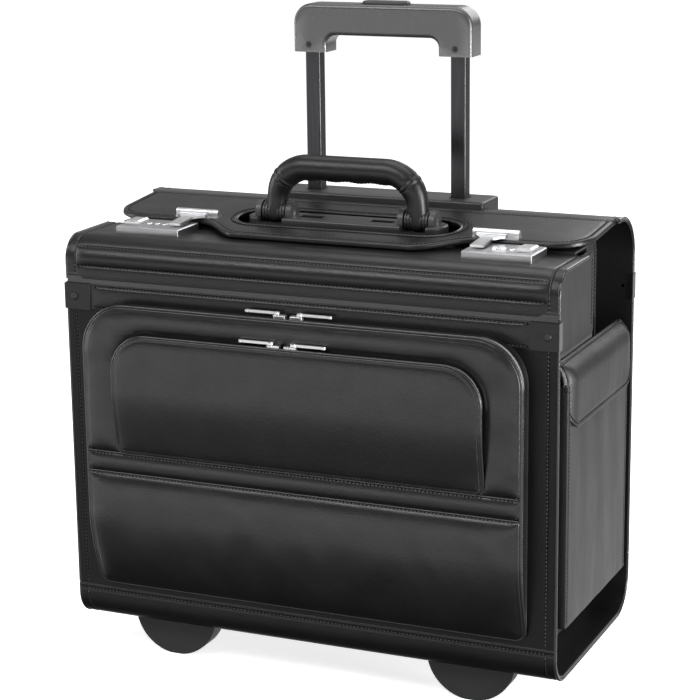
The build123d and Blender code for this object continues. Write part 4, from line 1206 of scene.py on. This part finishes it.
# ---- front pockets
main_half = main_high.x
small_half = small_high.x
main_depth = case_front - main_low.y
small_depth = small_high.y - small_low.y
band_low = small_low.z - 19 * MM
band_high = small_low.z
main_radii = [10 * MM, 10 * MM, 42 * MM, 42 * MM]
small_radii = [6 * MM, 6 * MM, 35 * MM, 35 * MM]
main_loop = rect_loop(-main_half, main_half, main_low.z, main_high.z, main_radii)
small_loop = rect_loop(-small_half, small_half, small_low.z, small_high.z, small_radii)


def main_reach(z):
    """How far the main pocket's face stands off the wall, less at its foot."""
    return 3.5 * MM + (main_depth - 3.5 * MM) * smooth((z - main_low.z) / (75 * MM)) ** 0.7


def small_reach(z):
    """How far the small pocket's face stands off the main one, less at its foot."""
    return 0.8 * MM + (small_depth - 0.8 * MM) * smooth((z - small_low.z) / (62 * MM)) ** 0.8


def facing(reach):
    """Place function of a pocket face: towards -Y by the reach at each height."""

    def place(uv):
        """Places and normals of the face at (x, z)."""
        y = case_front - reach(uv[:, 1])
        slope = (reach(uv[:, 1] + 1 * MM) - reach(uv[:, 1] - 1 * MM)) / (2 * MM)
        normal = unit(np.stack([0 * y, 0 * y - 1, -slope], 1))
        return np.stack([uv[:, 0], y, uv[:, 1]], 1), normal

    return place


main_place = facing(main_reach)
small_place = facing(lambda z: main_reach(z) + small_reach(z))

lower_seam = straight((-main_half, band_low), (main_half, band_low))
upper_seam = straight((-main_half, band_high), (main_half, band_high))
small_arch = unbroken(small_loop[small_loop[:, 1] > band_high + 1.5 * MM])
main_cut = Cut(main_loop, marks=[lower_seam, upper_seam, small_arch], spacing=5.5 * MM)
z_main = main_cut.uv[:, 1]
seam_gap = to_segments(main_cut.uv, [lower_seam, upper_seam])
arch_gap = to_segments(main_cut.uv, [small_arch])
under_small = inside(main_cut.uv, small_loop)
pinned = (main_cut.edge_gap < 0.6 * MM) | (seam_gap < 0.8 * MM) | under_small | (arch_gap < 0.8 * MM)
lower = z_main < band_low
band = (z_main >= band_low) & (z_main < band_high)
moat = (z_main >= band_high) & ~under_small
main_lift = crowned(
    main_cut,
    main_place,
    [(lower, 5.5 * MM, 26 * MM), (band, 1.9 * MM, 8 * MM), (moat, 3.4 * MM, 13 * MM)],
    pinned,
    0.008,
)
main_edge = rolled(main_cut.edge_gap, 2.0 * MM) + groove(main_cut.edge_gap - 3.6 * MM, 0.6 * MM)
main_lift = main_lift + main_edge + groove(seam_gap, 1.1 * MM, 1.5 * MM)
main_face = plate(
    "main_pocket_face", main_cut, main_place, main_lift, 2 * MM, *POCKET_LEATHER
)
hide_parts("front_pocket")

small_cut = Cut(small_loop, spacing=5 * MM)
small_pins = small_cut.edge_gap < 0.6 * MM
everywhere = np.ones(len(small_cut.uv), bool)
small_lift = crowned(small_cut, small_place, [(everywhere, 2.6 * MM, 22 * MM)], small_pins, 0.01)
small_gap = small_cut.edge_gap
small_lift = small_lift + rolled(small_gap, 1.8 * MM) + groove(small_gap - 3.4 * MM, 0.5 * MM)
small_face = plate(
    "accessory_pocket_face", small_cut, small_place, small_lift, 1.6 * MM, *POCKET_LEATHER
)
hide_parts("accessory_pocket")

tooth = capsule(3.0 * MM, 0.42 * MM, 0.55 * MM, sides=6)


def gusset(name, loop, base_reach, top_reach, hollow):
    """Pocket wall with its zip: leather on both sides of the tape, and two rows of teeth."""
    fine = resampled(closed(loop), 2.2 * MM)
    fine = closed(fine)
    along = unit(np.roll(fine, -1, 0) - np.roll(fine, 1, 0))
    along[0] = along[-1] = unit(fine[1] - fine[-2])
    out = np.stack([along[:, 1], -along[:, 0]], 1)
    shares = np.array([0, 0.12, 0.25, 0.36, 0.42, 0.44, 0.5, 0.56, 0.58, 0.64, 0.75, 0.88, 1.0])
    dip = -hollow * np.sin(math.pi * shares) ** 0.8
    dip[4:9] -= 0.5 * MM
    low, high = base_reach(fine[:, 1]), top_reach(fine[:, 1])
    grid = np.zeros((len(fine), len(shares), 3))
    inner = np.zeros_like(grid)
    for i, share in enumerate(shares):
        for target, extra in ((grid, 0.0), (inner, -1.2 * MM)):
            spot = fine + out * (dip[i] + extra)
            target[:, i, 0] = spot[:, 0]
            target[:, i, 1] = case_front - (low + (high - low) * share)
            target[:, i, 2] = spot[:, 1]
    verts, faces = layered(grid, inner)
    finish_mesh(f"{name}_gusset", verts, faces, *POCKET_LEATHER)
    tape = grid[:, 5:8].copy()
    lifted = np.zeros_like(tape)
    lifted[..., 0] = out[:, None, 0]
    lifted[..., 2] = out[:, None, 1]
    verts, faces = layered(tape + lifted * 0.25 * MM, tape - lifted * 0.3 * MM)
    finish_mesh(f"{name}_zip_tape", verts, faces, "case", tape_material, "lining")
    middle = grid[:, 6] + lifted[:, 1] * 0.45 * MM
    track = np.concatenate([middle, lifted[:, 1]], 1)
    high_enough = (high - low)[:, None] > 5 * MM
    track = unbroken(track[np.flatnonzero(high_enough[:, 0])])
    teeth = resampled(track, 1.5 * MM)
    stagger = np.where(np.arange(len(teeth)) % 2 == 0, 0.55 * MM, -0.55 * MM)
    origins = teeth[:, :3] + np.stack([0 * stagger, stagger, 0 * stagger], 1)
    across_zip = np.broadcast_to(np.array([0, 1.0, 0]), origins.shape)
    scattered(
        f"{name}_zip_teeth",
        [(*tooth, (0, 0, 0))],
        origins,
        across_zip,
        teeth[:, 3:],
        "case",
        [coil_material],
        "black_plastic",
    )


gusset("main_pocket", main_loop, lambda z: 0 * z, main_reach, 1.6 * MM)
gusset("accessory_pocket", small_loop, main_reach, lambda z: main_reach(z) + small_reach(z), 0.7 * MM)

for name, loop, place, radius in (
    ("main_pocket", main_loop, main_place, 1.5 * MM),
    ("accessory_pocket", small_loop, small_place, 1.3 * MM),
):
    points, normal = place(loop[:-1])
    tube(f"{name}_piping", points - normal * piping_sink, radius, *POCKET_BINDING, closed=True)

seam_half = main_half - 5 * MM


def level_run(x0, x1, z, lift):
    """Level stitch run across the main pocket's face."""
    return loop_run(resampled(straight((x0, z), (x1, z)), 4 * MM), main_place, lift)


pocket_runs = [
    loop_run(offset_loop(main_loop, 3.6 * MM), main_place, 0.0),
    loop_run(offset_loop(small_loop, 3.4 * MM), small_place, 0.0),
    level_run(-seam_half, seam_half, band_low - 1.7 * MM, 0.6 * MM),
]
upper_run_z = band_high - 2.0 * MM
for s in SIDES.values():
    pocket_runs.append(level_run(s * (small_half + 2 * MM), s * seam_half, upper_run_z, 0.4 * MM))
pocket_runs.append(level_run(-small_half, small_half, upper_run_z, 0.4 * MM))
stitches("pocket_stitching", pocket_runs, "case", slot="pocket_leather")
cord_half = main_half - 1.5 * MM
for name, z in (("upper", band_high), ("lower", band_low)):
    ridge_line = np.stack([np.linspace(-cord_half, cord_half, 90), np.full(90, z)], 1)
    points, normal = main_place(ridge_line)
    tube(f"{name}_seam_piping", points + normal * 0.1 * MM, 1.0 * MM, *POCKET_BINDING)

# ---- side walls: leather facings on the boards
panel_outer = 200 * MM
wing_outer = 225 * MM
wing_drop, wing_reach = 94 * MM, 124 * MM
wing_low_z = case_top - wing_drop
wing_back_y = case_front + wing_reach
for side, s in SIDES.items():

    def side_place(uv, x, s=s):
        """Place on a side face at |x|, for (y, z)."""
        normal = np.zeros((len(uv), 3))
        normal[:, 0] = s
        return np.stack([np.full(len(uv), s * x), uv[:, 0], uv[:, 1]], 1), normal

    front_y, roof_z = case_front + wall + 1.2 * MM, lid_top - wall - 1.2 * MM
    wing_corners = [
        (wing_back_y - 30 * MM, wing_low_z),
        (wing_back_y, wing_low_z),
        (wing_back_y, roof_z),
        (front_y, roof_z),
        (front_y, wing_low_z),
        (wing_back_y - 30 * MM, wing_low_z),
    ]
    wing_loop = rounded(wing_corners, [2 * MM, 2 * MM, lid_radius - wall - 1 * MM, 2 * MM], 2 * MM)
    wing_cut = Cut(wing_loop, spacing=6 * MM)
    back_gap = wing_back_y - wing_cut.uv[:, 0]
    wing_lift = 0.9 * MM + rolled(wing_cut.edge_gap, 0.9 * MM) + groove(back_gap - 5 * MM, 0.35 * MM)
    wing_lift = wing_lift + 0.5 * MM * np.sin(math.pi * np.clip(back_gap / (wing_back_y - front_y), 0, 1))
    plate(
        f"wing_facing_{side}",
        wing_cut,
        lambda uv, s=s: side_place(uv, wing_outer, s),
        wing_lift,
        0,
        *CASE_MATTE,
        under=0.02 * MM,
    )
    panel_corners = [
        (0.0, case_bottom + wall),
        (case_back - wall, case_bottom + wall),
        (case_back - wall, case_top - 9 * MM),
        (wing_back_y - 2 * MM, case_top - 9 * MM),
        (wing_back_y - 2 * MM, wing_low_z - 5 * MM),
        (case_front + wall, wing_low_z - 5 * MM),
        (case_front + wall, case_bottom + wall),
        (0.0, case_bottom + wall),
    ]
    panel_loop = rounded(panel_corners, [30 * MM, 34 * MM, 1 * MM, 1 * MM, 1 * MM, 20 * MM], 2 * MM)
    panel_cut = Cut(panel_loop, spacing=8 * MM)
    # lighter leather here: painted reflection on the recessed side panel
    plate(
        f"side_facing_{side}",
        panel_cut,
        lambda uv, s=s: side_place(uv, panel_outer, s),
        0.7 * MM + rolled(panel_cut.edge_gap, 0.7 * MM) + groove(panel_cut.edge_gap - 6 * MM, 0.3 * MM),
        0,
        "case",
        recess_reflection_material,
        "shell_leather",
        under=0.02 * MM,
    )
    edge_y = wing_back_y - 5 * MM
    edge_line = np.array([(edge_y, wing_low_z + 4 * MM), (edge_y, roof_z - 4 * MM)])
    wing_points, wing_normals = side_place(resampled(edge_line, 5 * MM), wing_outer)
    panel_points, panel_normals = side_place(offset_loop(panel_loop, 6 * MM), panel_outer)
    side_runs = [
        (wing_points + wing_normals * 0.75 * MM, wing_normals),
        (panel_points + panel_normals * 0.5 * MM, panel_normals),
    ]
    stitches(f"side_stitching_{side}", side_runs, "case")
    rim_x, rim_y = s * (wing_outer - 1.5 * MM), wing_back_y + 0.4 * MM
    rim = np.array([[rim_x, rim_y, z] for z in np.linspace(wing_low_z + 2 * MM, roof_z - 1 * MM, 40)])
    tube(f"wing_edge_{side}", rim, wing_edge_radius, *CASE_BINDING)

# ---- side pockets and their flaps
pocket_low, pocket_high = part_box("side_pockets")
pocket_front, pocket_back = pocket_low.y, pocket_high.y
pocket_x = pocket_high.x
front_curl, front_curl_width = 9.0 * MM, 17 * MM
back_curl, back_curl_width = 5.0 * MM, 14 * MM
for side, s in SIDES.items():
    corners = [
        (s * (panel_outer + 0.8 * MM), pocket_front + 3 * MM),
        (s * pocket_x, pocket_front + 3 * MM),
        (s * pocket_x, pocket_back),
        (s * (panel_outer + 0.8 * MM), pocket_back),
    ]
    path = Path(corners, [2.5 * MM, 8 * MM], -s)
    height = pocket_high.z - pocket_low.z
    face_start = path.nearest((s * pocket_x, pocket_front + 4 * MM))
    face_end = path.nearest((s * pocket_x, pocket_back - 6 * MM))
    seam_start, seam_end = face_start + 3 * MM, face_end - 3 * MM
    seam_foot, seam_top = pocket_low.z + 4 * MM, pocket_high.z - 6 * MM

    def pocket_relief(z, v, a=face_start, b=face_end):
        """Belly, sagging mouth and seams of a side pocket."""
        share = np.clip((v - a) / (b - a), 0, 1)
        tall = np.clip((z - pocket_low.z) / height, 0, 1)
        belly = 1.2 * MM * np.sin(math.pi * share) * np.sin(math.pi * tall) ** 0.6
        sag = -2.6 * MM * np.sin(math.pi * share) ** 2 * smooth((tall - 0.75) / 0.25)
        waves = 0.5 * MM * np.sin(share * 23 + 2 * tall) * np.sin(math.pi * share) * (0.3 + tall)
        seams = groove(v - a - 3 * MM, 0.45 * MM) + groove(b - 3 * MM - v, 0.45 * MM)
        top = rolled(pocket_high.z - z, 1.4 * MM) + groove(pocket_high.z - 6 * MM - z, 0.4 * MM)
        return belly + sag + waves + seams + top + rolled(z - pocket_low.z, 1.5 * MM)

    sheet = Sheet(path, (2, 0, 1), pocket_relief)
    pocket = swept(
        f"side_pocket_leather_{side}",
        sheet,
        lines(pocket_low.z, pocket_high.z, 6 * MM, (seam_top,)),
        lines(0, path.length, 3.5 * MM, (seam_start, seam_end)),
        2.2 * MM,
        *POCKET_MATTE,
    )
    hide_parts("side_pockets")
    floor_x = sorted((s * (panel_outer + 0.8 * MM), s * (pocket_x - 0.6 * MM)))
    floor_loop = rect_loop(*floor_x, pocket_front + 4 * MM, pocket_back - 1 * MM, [2 * MM] * 4)
    floor_cut = Cut(floor_loop, spacing=6 * MM)

    def floor_place(uv):
        """Place on the pocket's floor."""
        normal = np.broadcast_to(np.array([0, 0, -1.0]), (len(uv), 3))
        return np.column_stack([uv, np.full(len(uv), pocket_low.z + 0.2 * MM)]), normal

    plate(
        f"side_pocket_floor_{side}",
        floor_cut,
        floor_place,
        rolled(floor_cut.edge_gap, 1.2 * MM) + 0.2 * MM,
        2 * MM,
        *POCKET_MATTE,
    )
    around = np.linspace(0, path.length, 160)
    mouth = sheet.point(np.full(160, pocket_high.z - 0.2 * MM), around, -1.4 * MM)[0]
    tube(f"side_pocket_mouth_{side}", mouth, mouth_radius, *POCKET_BINDING)
    runs = [
        run_on(sheet, (seam_foot, seam_start), (seam_top, seam_start)),
        run_on(sheet, (seam_foot, seam_end), (seam_top, seam_end)),
        run_on(sheet, (seam_top, seam_start), (seam_top, seam_end)),
    ]
    stitches(f"side_pocket_stitching_{side}", runs, "case", slot="pocket_leather")

    flap_low, flap_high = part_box(f"pocket_flap_{side}")
    outer_x = max(abs(flap_low.x), abs(flap_high.x))
    inner_edge = min(abs(flap_low.x), abs(flap_high.x))
    flap_corners = [
        (s * (inner_edge + 0.8 * MM), flap_high.z - 1.0 * MM),
        (s * outer_x, flap_high.z - 12 * MM),
        (s * outer_x, flap_low.z),
    ]
    flap_path = Path(flap_corners, [16 * MM], s)
    flap_length = flap_path.length
    flap_loop = rect_loop(flap_low.y, flap_high.y, 0, flap_length, [1.5 * MM, 1.5 * MM, 24 * MM, 24 * MM])
    flap_cut = Cut(flap_loop, spacing=5 * MM)

    def flap_place(uv, path=flap_path, s=s, low=flap_low, high=flap_high):
        """Place on the flap for (y, length down it); its upright edges curl inwards."""
        flat, turn = path.at(uv[:, 1])
        curl_front = np.clip(1 - (uv[:, 0] - low.y) / front_curl_width, 0, 1) ** 2
        curl_back = np.clip(1 - (high.y - uv[:, 0]) / back_curl_width, 0, 1) ** 2
        drop = smooth(uv[:, 1] / (20 * MM))
        inward = (front_curl * curl_front + back_curl * curl_back) * drop
        place = np.stack([flat[:, 0] - s * inward, uv[:, 0], flat[:, 1]], 1)
        front_lean = 2 * front_curl * np.sqrt(curl_front) / front_curl_width
        back_lean = 2 * back_curl * np.sqrt(curl_back) / back_curl_width
        lean = (front_lean - back_lean) * drop
        normal = unit(np.stack([turn[:, 0], -lean * np.abs(turn[:, 0]), turn[:, 1]], 1))
        return place, normal

    flap_lift = (
        rolled(flap_cut.edge_gap, 1.2 * MM)
        + groove(flap_cut.edge_gap - 4 * MM, 0.4 * MM)
        + 0.5 * MM * np.sin(flap_cut.uv[:, 0] * 60) * smooth(flap_cut.edge_gap / (20 * MM))
        - 0.6 * MM
    )
    flap = plate(
        f"pocket_flap_leather_{side}",
        flap_cut,
        flap_place,
        flap_lift,
        2.3 * MM,
        f"pocket_flap_{side}",
        matte_material,
        "pocket_leather",
    )
    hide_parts(f"pocket_flap_{side}")
    flap_seam = offset_loop(flap_loop, 4 * MM)
    seam_points, seam_normals = flap_place(flap_seam)
    stitches(
        f"pocket_flap_stitching_{side}",
        [(seam_points - seam_normals * 0.75 * MM, seam_normals)],
        f"pocket_flap_{side}",
        slot="pocket_leather",
    )

# ---- carry handle: padded grip over a steel core, with collars and finger waves
handle_low, handle_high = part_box("carry_handle")
grip_radius = 12 * MM
pivot_z = handle_low.z + grip_radius
leg_x = 70 * MM
top_x = 65 * MM
grip_z = handle_high.z - grip_radius
foot_drop = 11 * MM
handle_corners = [
    (-leg_x, pivot_z - foot_drop),
    (-leg_x, pivot_z),
    (-top_x, grip_z),
    (top_x, grip_z),
    (leg_x, pivot_z),
    (leg_x, pivot_z - foot_drop),
]
handle_line = rounded(handle_corners, [8 * MM, 30 * MM, 30 * MM, 8 * MM], 1.0 * MM)
reach = np.concatenate([[0], np.cumsum(np.linalg.norm(np.diff(handle_line, axis=0), axis=1))])
from_end = np.minimum(reach, reach[-1] - reach)
radius = grip_radius * (0.84 + 0.16 * smooth((from_end - 22 * MM) / (24 * MM)))
tip = np.clip(1 - from_end / (9 * MM), 0, 1)
radius = radius * np.sqrt(np.maximum(1 - tip**2.4, 0.04))
collar = 42 * MM
for mark in (collar, collar + 4.5 * MM):
    radius = radius - 0.55 * MM * np.exp(-(((from_end - mark) / (0.8 * MM)) ** 2))
radius = radius + 0.4 * MM * np.exp(-(((from_end - collar - 2.2 * MM) / (1.6 * MM)) ** 2))
along = unit(np.gradient(handle_line, axis=0))
out_normal = np.stack([-along[:, 1], along[:, 0]], 1)
rings = 40
turns = np.linspace(0, 2 * math.pi, rings, endpoint=False)
finger_pitch = 24 * MM
waves = 0.45 * MM * np.cos(2 * math.pi * (reach - reach[-1] / 2) / finger_pitch)
waves = waves * smooth((from_end - 56 * MM) / (14 * MM))
grid = np.zeros((len(handle_line), rings, 3))
for i, turn in enumerate(turns):
    under = max(0.0, -math.cos(turn)) ** 2
    seam_dip = 0.45 * MM * math.exp(-(((turn - math.pi) / 0.07) ** 2))
    r = radius - under * (0.9 * MM + waves) - seam_dip
    grid[:, i, 0] = handle_line[:, 0] + out_normal[:, 0] * r * math.cos(turn)
    grid[:, i, 2] = handle_line[:, 1] + out_normal[:, 1] * r * math.cos(turn)
    grid[:, i, 1] = handle_y + 0.96 * r * math.sin(turn)
verts = grid.reshape(-1, 3)
faces = ring_faces(len(handle_line), rings)
handle = finish_mesh(
    "carry_handle_grip", verts, faces, "carry_handle", shell_material, "shell_leather", sharp=70
)
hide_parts("carry_handle")
under_points, under_normals = [], []
keep = from_end > collar + 7 * MM
for p, n, r in zip(handle_line[keep], out_normal[keep], (radius - 0.9 * MM - waves)[keep]):
    under_points.append((p[0] - n[0] * r, handle_y, p[1] - n[1] * r))
    under_normals.append((-n[0], 0, -n[1]))
stitches("carry_handle_stitching", [(np.array(under_points), np.array(under_normals))], "carry_handle")


def lathed(name, profile, origin, axis, body, material, slot, sides=48):
    """Turned piece: profile pairs of (length along the axis, radius)."""
    other = (np.array([0, 0, 1.0]), np.array([0, 1.0, 0]))
    verts = []
    for length, r in profile:
        for i in range(sides):
            a = 2 * math.pi * i / sides
            verts.append(origin + axis * length + r * (math.cos(a) * other[0] + math.sin(a) * other[1]))
    return finish_mesh(name, verts, ring_faces(len(profile), sides), body, material, slot)


barrel_half = 11.6 * MM
barrel_radius = 9.4 * MM
barrel_bore = 6 * MM
rib_pitch, rib_depth = 2.9 * MM, 0.7 * MM
for side, s in SIDES.items():
    profile = [
        (-barrel_half, barrel_bore),
        (-barrel_half, barrel_radius - 1 * MM),
        (-barrel_half + 0.8 * MM, barrel_radius),
    ]
    for k in range(-3, 4):
        centre = k * rib_pitch
        profile += [
            (centre - 0.75 * MM, barrel_radius),
            (centre - 0.4 * MM, barrel_radius - rib_depth),
            (centre + 0.4 * MM, barrel_radius - rib_depth),
            (centre + 0.75 * MM, barrel_radius),
        ]
    profile += [
        (barrel_half - 0.8 * MM, barrel_radius),
        (barrel_half, barrel_radius - 1 * MM),
        (barrel_half, barrel_bore),
    ]
    lathed(
        f"carry_handle_knuckle_{side}",
        profile,
        np.array([s * leg_x, handle_y, pivot_z]),
        np.array([1.0, 0, 0]),
        "carry_handle",
        plastic_material,
        "black_plastic",
    )

# ---- hard parts keep their CAD shape, with finished edges and surfaces
FINISHES = {
    "side_panels": (lining_material, 0.0),
    "corner_clips": (clip_material, 0.35),
    "clip_rivets": (black_steel_material, 0.0),
    "floor_board": (lining_material, 0.6),
    "laptop_divider": (lining_material, 1.4),
    "handle_frame": (black_steel_material, 0.5),
    "handle_base": (plastic_material, 0.5),
    "handle_pins": (steel_material, 0.3),
    "hasp_mounts": (chrome_material, 0.25),
    "outer_tubes": (anodised_material, 0.3),
    "mid_tubes": (anodised_material, 0.3),
    "inner_tubes": (anodised_material, 0.3),
    "trolley_foot": (plastic_material, 0.5),
    "trolley_bezel": (plastic_material, 1.2),
    "trolley_grip": (grip_material, 0.8),
    "grip_screws": (black_steel_material, 0.2),
    "release_button": (plastic_material, 0.6),
    "push_yoke": (plastic_material, 0.3),
    "trolley_cover": (lining_material, 0.6),
    "wheel_housings": (plastic_material, 0.5),
    "wheel_axles": (steel_material, 0.3),
    "front_feet": (foot_material, 1.2),
    "foot_screws": (steel_material, 0.3),
}
for side in SIDES:
    FINISHES[f"lock_body_{side}"] = (lock_material, 0.25)
    FINISHES[f"lock_slide_{side}"] = (chrome_material, 0.3)
    FINISHES[f"hasp_{side}"] = (chrome_material, 0.3)
    FINISHES[f"wheel_tyre_{side}"] = (tread_material, 0.5)
    FINISHES[f"wheel_hub_{side}"] = (plastic_material, 0.4)
    for number in (1, 2, 3):
        FINISHES[f"lock_dial_{side}_{number}"] = (dial_material, 0.0)
    for zip_name in ("main", "accessory"):
        FINISHES[f"{zip_name}_zip_slider_{side}"] = (nickel_material, 0.2)
        FINISHES[f"{zip_name}_zip_pull_{side}"] = (nickel_material, 0.35)

for name, (material, bevel) in FINISHES.items():
    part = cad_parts[name]
    part.data.materials.clear()
    part.data.materials.append(material)
    part.data.polygons.foreach_set("use_smooth", np.ones(len(part.data.polygons), bool))
    part.data.set_sharp_from_angle(angle=math.radians(32))
    if bevel:
        rounding = part.modifiers.new("Edges", "BEVEL")
        rounding.width = bevel * MM
        rounding.segments = 2
        rounding.limit_method = "ANGLE"
        rounding.angle_limit = math.radians(40)
        rounding.harden_normals = True

# ---- stage
stage_pale = 0.93


def stage_material(name, colour, glow):
    """Pale matt surface of the stage, with a slight mottle."""
    made, tree, shader, coords = start(name, specular=0.1)
    cloud = noise(tree, coords, 1.5, 2)
    tint = mixed(tree, ranged(tree, cloud, 0.3, 0.7, 0, 1), colour, tuple(c * 0.995 for c in colour))
    tree.links.new(tint, shader.inputs["Base Color"])
    shader.inputs["Roughness"].default_value = 0.9
    shader.inputs["Emission Color"].default_value = (1, 1, 1, 1)
    shader.inputs["Emission Strength"].default_value = glow
    return made


bpy.ops.mesh.primitive_circle_add(vertices=96, radius=9, fill_type="NGON", location=(0, 0, 0))
floor = bpy.context.object
floor.name = "stage_floor"
floor.data.materials.append(stage_material("stage_floor", (stage_pale,) * 3, 0.78))
floor.visible_glossy = False
floor.visible_diffuse = False
bpy.ops.mesh.primitive_uv_sphere_add(segments=64, ring_count=32, radius=9)
dome = bpy.context.object
dome.name = "stage_dome"
dome.data.materials.append(stage_material("stage_dome", (0.0, 0.0, 0.0), 1.0))
for flag in ("visible_glossy", "visible_diffuse", "visible_shadow", "visible_transmission"):
    setattr(dome, flag, False)

# ---- light
world = bpy.data.worlds.new("studio")
bpy.context.scene.world = world
world.use_nodes = True
sky = world.node_tree
heading = node(sky, "ShaderNodeSeparateXYZ")
sky.links.new(node(sky, "ShaderNodeTexCoord").outputs["Generated"], heading.inputs["Vector"])


def blended(factor, low, high):
    """Mix of two strengths by a factor."""
    mix = node(sky, "ShaderNodeMix")
    for socket, value in (("Factor", factor), ("A", low), ("B", high)):
        sky.links.new(value, mix.inputs[socket])
    return mix.outputs["Result"]


height = heading.outputs["Z"]
sky_glow = ranged(sky, heading.outputs["Y"], -0.5, 0.9, 0.16, 0.4)
floor_before = ranged(sky, height, -0.42, -0.15, 0.45, 2.2)
floor_behind = ranged(sky, height, -0.15, -0.36, 0.32, 1.3)
floor_glow = blended(ranged(sky, heading.outputs["Y"], -0.3, 0.3, 0.0, 1.0), floor_before, floor_behind)
shade = ranged(sky, height, -1.0, -0.5, 0.05, 0.1)
floor_glow = blended(ranged(sky, height, -0.75, -0.45, 1.0, 0.0), floor_glow, shade)
glow = blended(ranged(sky, height, -0.07, 0.02, 1.0, 0.0), sky_glow, floor_glow)
sky.nodes["Background"].inputs["Color"].default_value = (1, 1, 1, 1)
sky.links.new(glow, sky.nodes["Background"].inputs["Strength"])


def area_light(name, place, target, size, power):
    """Soft rectangular light aimed at a point."""
    lamp = bpy.data.lights.new(name, "AREA")
    lamp.shape = "RECTANGLE"
    lamp.size, lamp.size_y = size
    lamp.energy = power
    obj = bpy.data.objects.new(name, lamp)
    obj.location = place
    obj.rotation_mode = "QUATERNION"
    obj.rotation_quaternion = (Vector(target) - Vector(place)).to_track_quat("-Z", "Y")
    bpy.context.scene.collection.objects.link(obj)


area_light("key", (-0.7, -1.7, 2.1), (0, 0, 0.3), (2.2, 0.8), 40)
area_light("top", (0.1, 0.3, 2.3), (0, 0, 0.3), (2.0, 1.2), 24)
area_light("right", (2.0, -0.5, 0.8), (0.2, 0, 0.25), (0.7, 1.6), 30)
area_light("rim", (1.75, -0.32, 0.27), (0.235, -0.1, 0.3), (0.3, 0.5), 24)
area_light("left", (-2.3, -0.5, 0.9), (0, 0, 0.25), (0.5, 1.5), 18)
area_light("back", (0.3, 2.4, 1.5), (0, 0, 0.3), (1.6, 1.2), 16)

# ---- camera
view_turn = math.radians(23.72)
view_rise = math.radians(13.94)
view_roll = math.radians(-0.68)
flat_reach = math.cos(view_rise)
back = Vector(
    (math.sin(view_turn) * flat_reach, -math.cos(view_turn) * flat_reach, math.sin(view_rise))
)
right = (-back).cross(Vector((0, 0, 1))).normalized()
up = right.cross(-back)
level, upright = right.copy(), up.copy()
right = level * math.cos(view_roll) + upright * math.sin(view_roll)
up = upright * math.cos(view_roll) - level * math.sin(view_roll)
camera_data = bpy.data.cameras.new("camera")
camera_data.sensor_width = 36
camera_data.lens = 110.9
camera_data.clip_start, camera_data.clip_end = 0.1, 60
camera = bpy.data.objects.new("camera", camera_data)
bpy.context.scene.collection.objects.link(camera)
turned = Matrix((right, up, back)).transposed().to_4x4()
camera.matrix_world = Matrix.Translation((0.774, -1.7585, 0.768)) @ turned
bpy.context.scene.camera = camera
bpy.context.scene.view_settings.view_transform = "Standard"
bpy.context.scene.view_settings.look = "None"
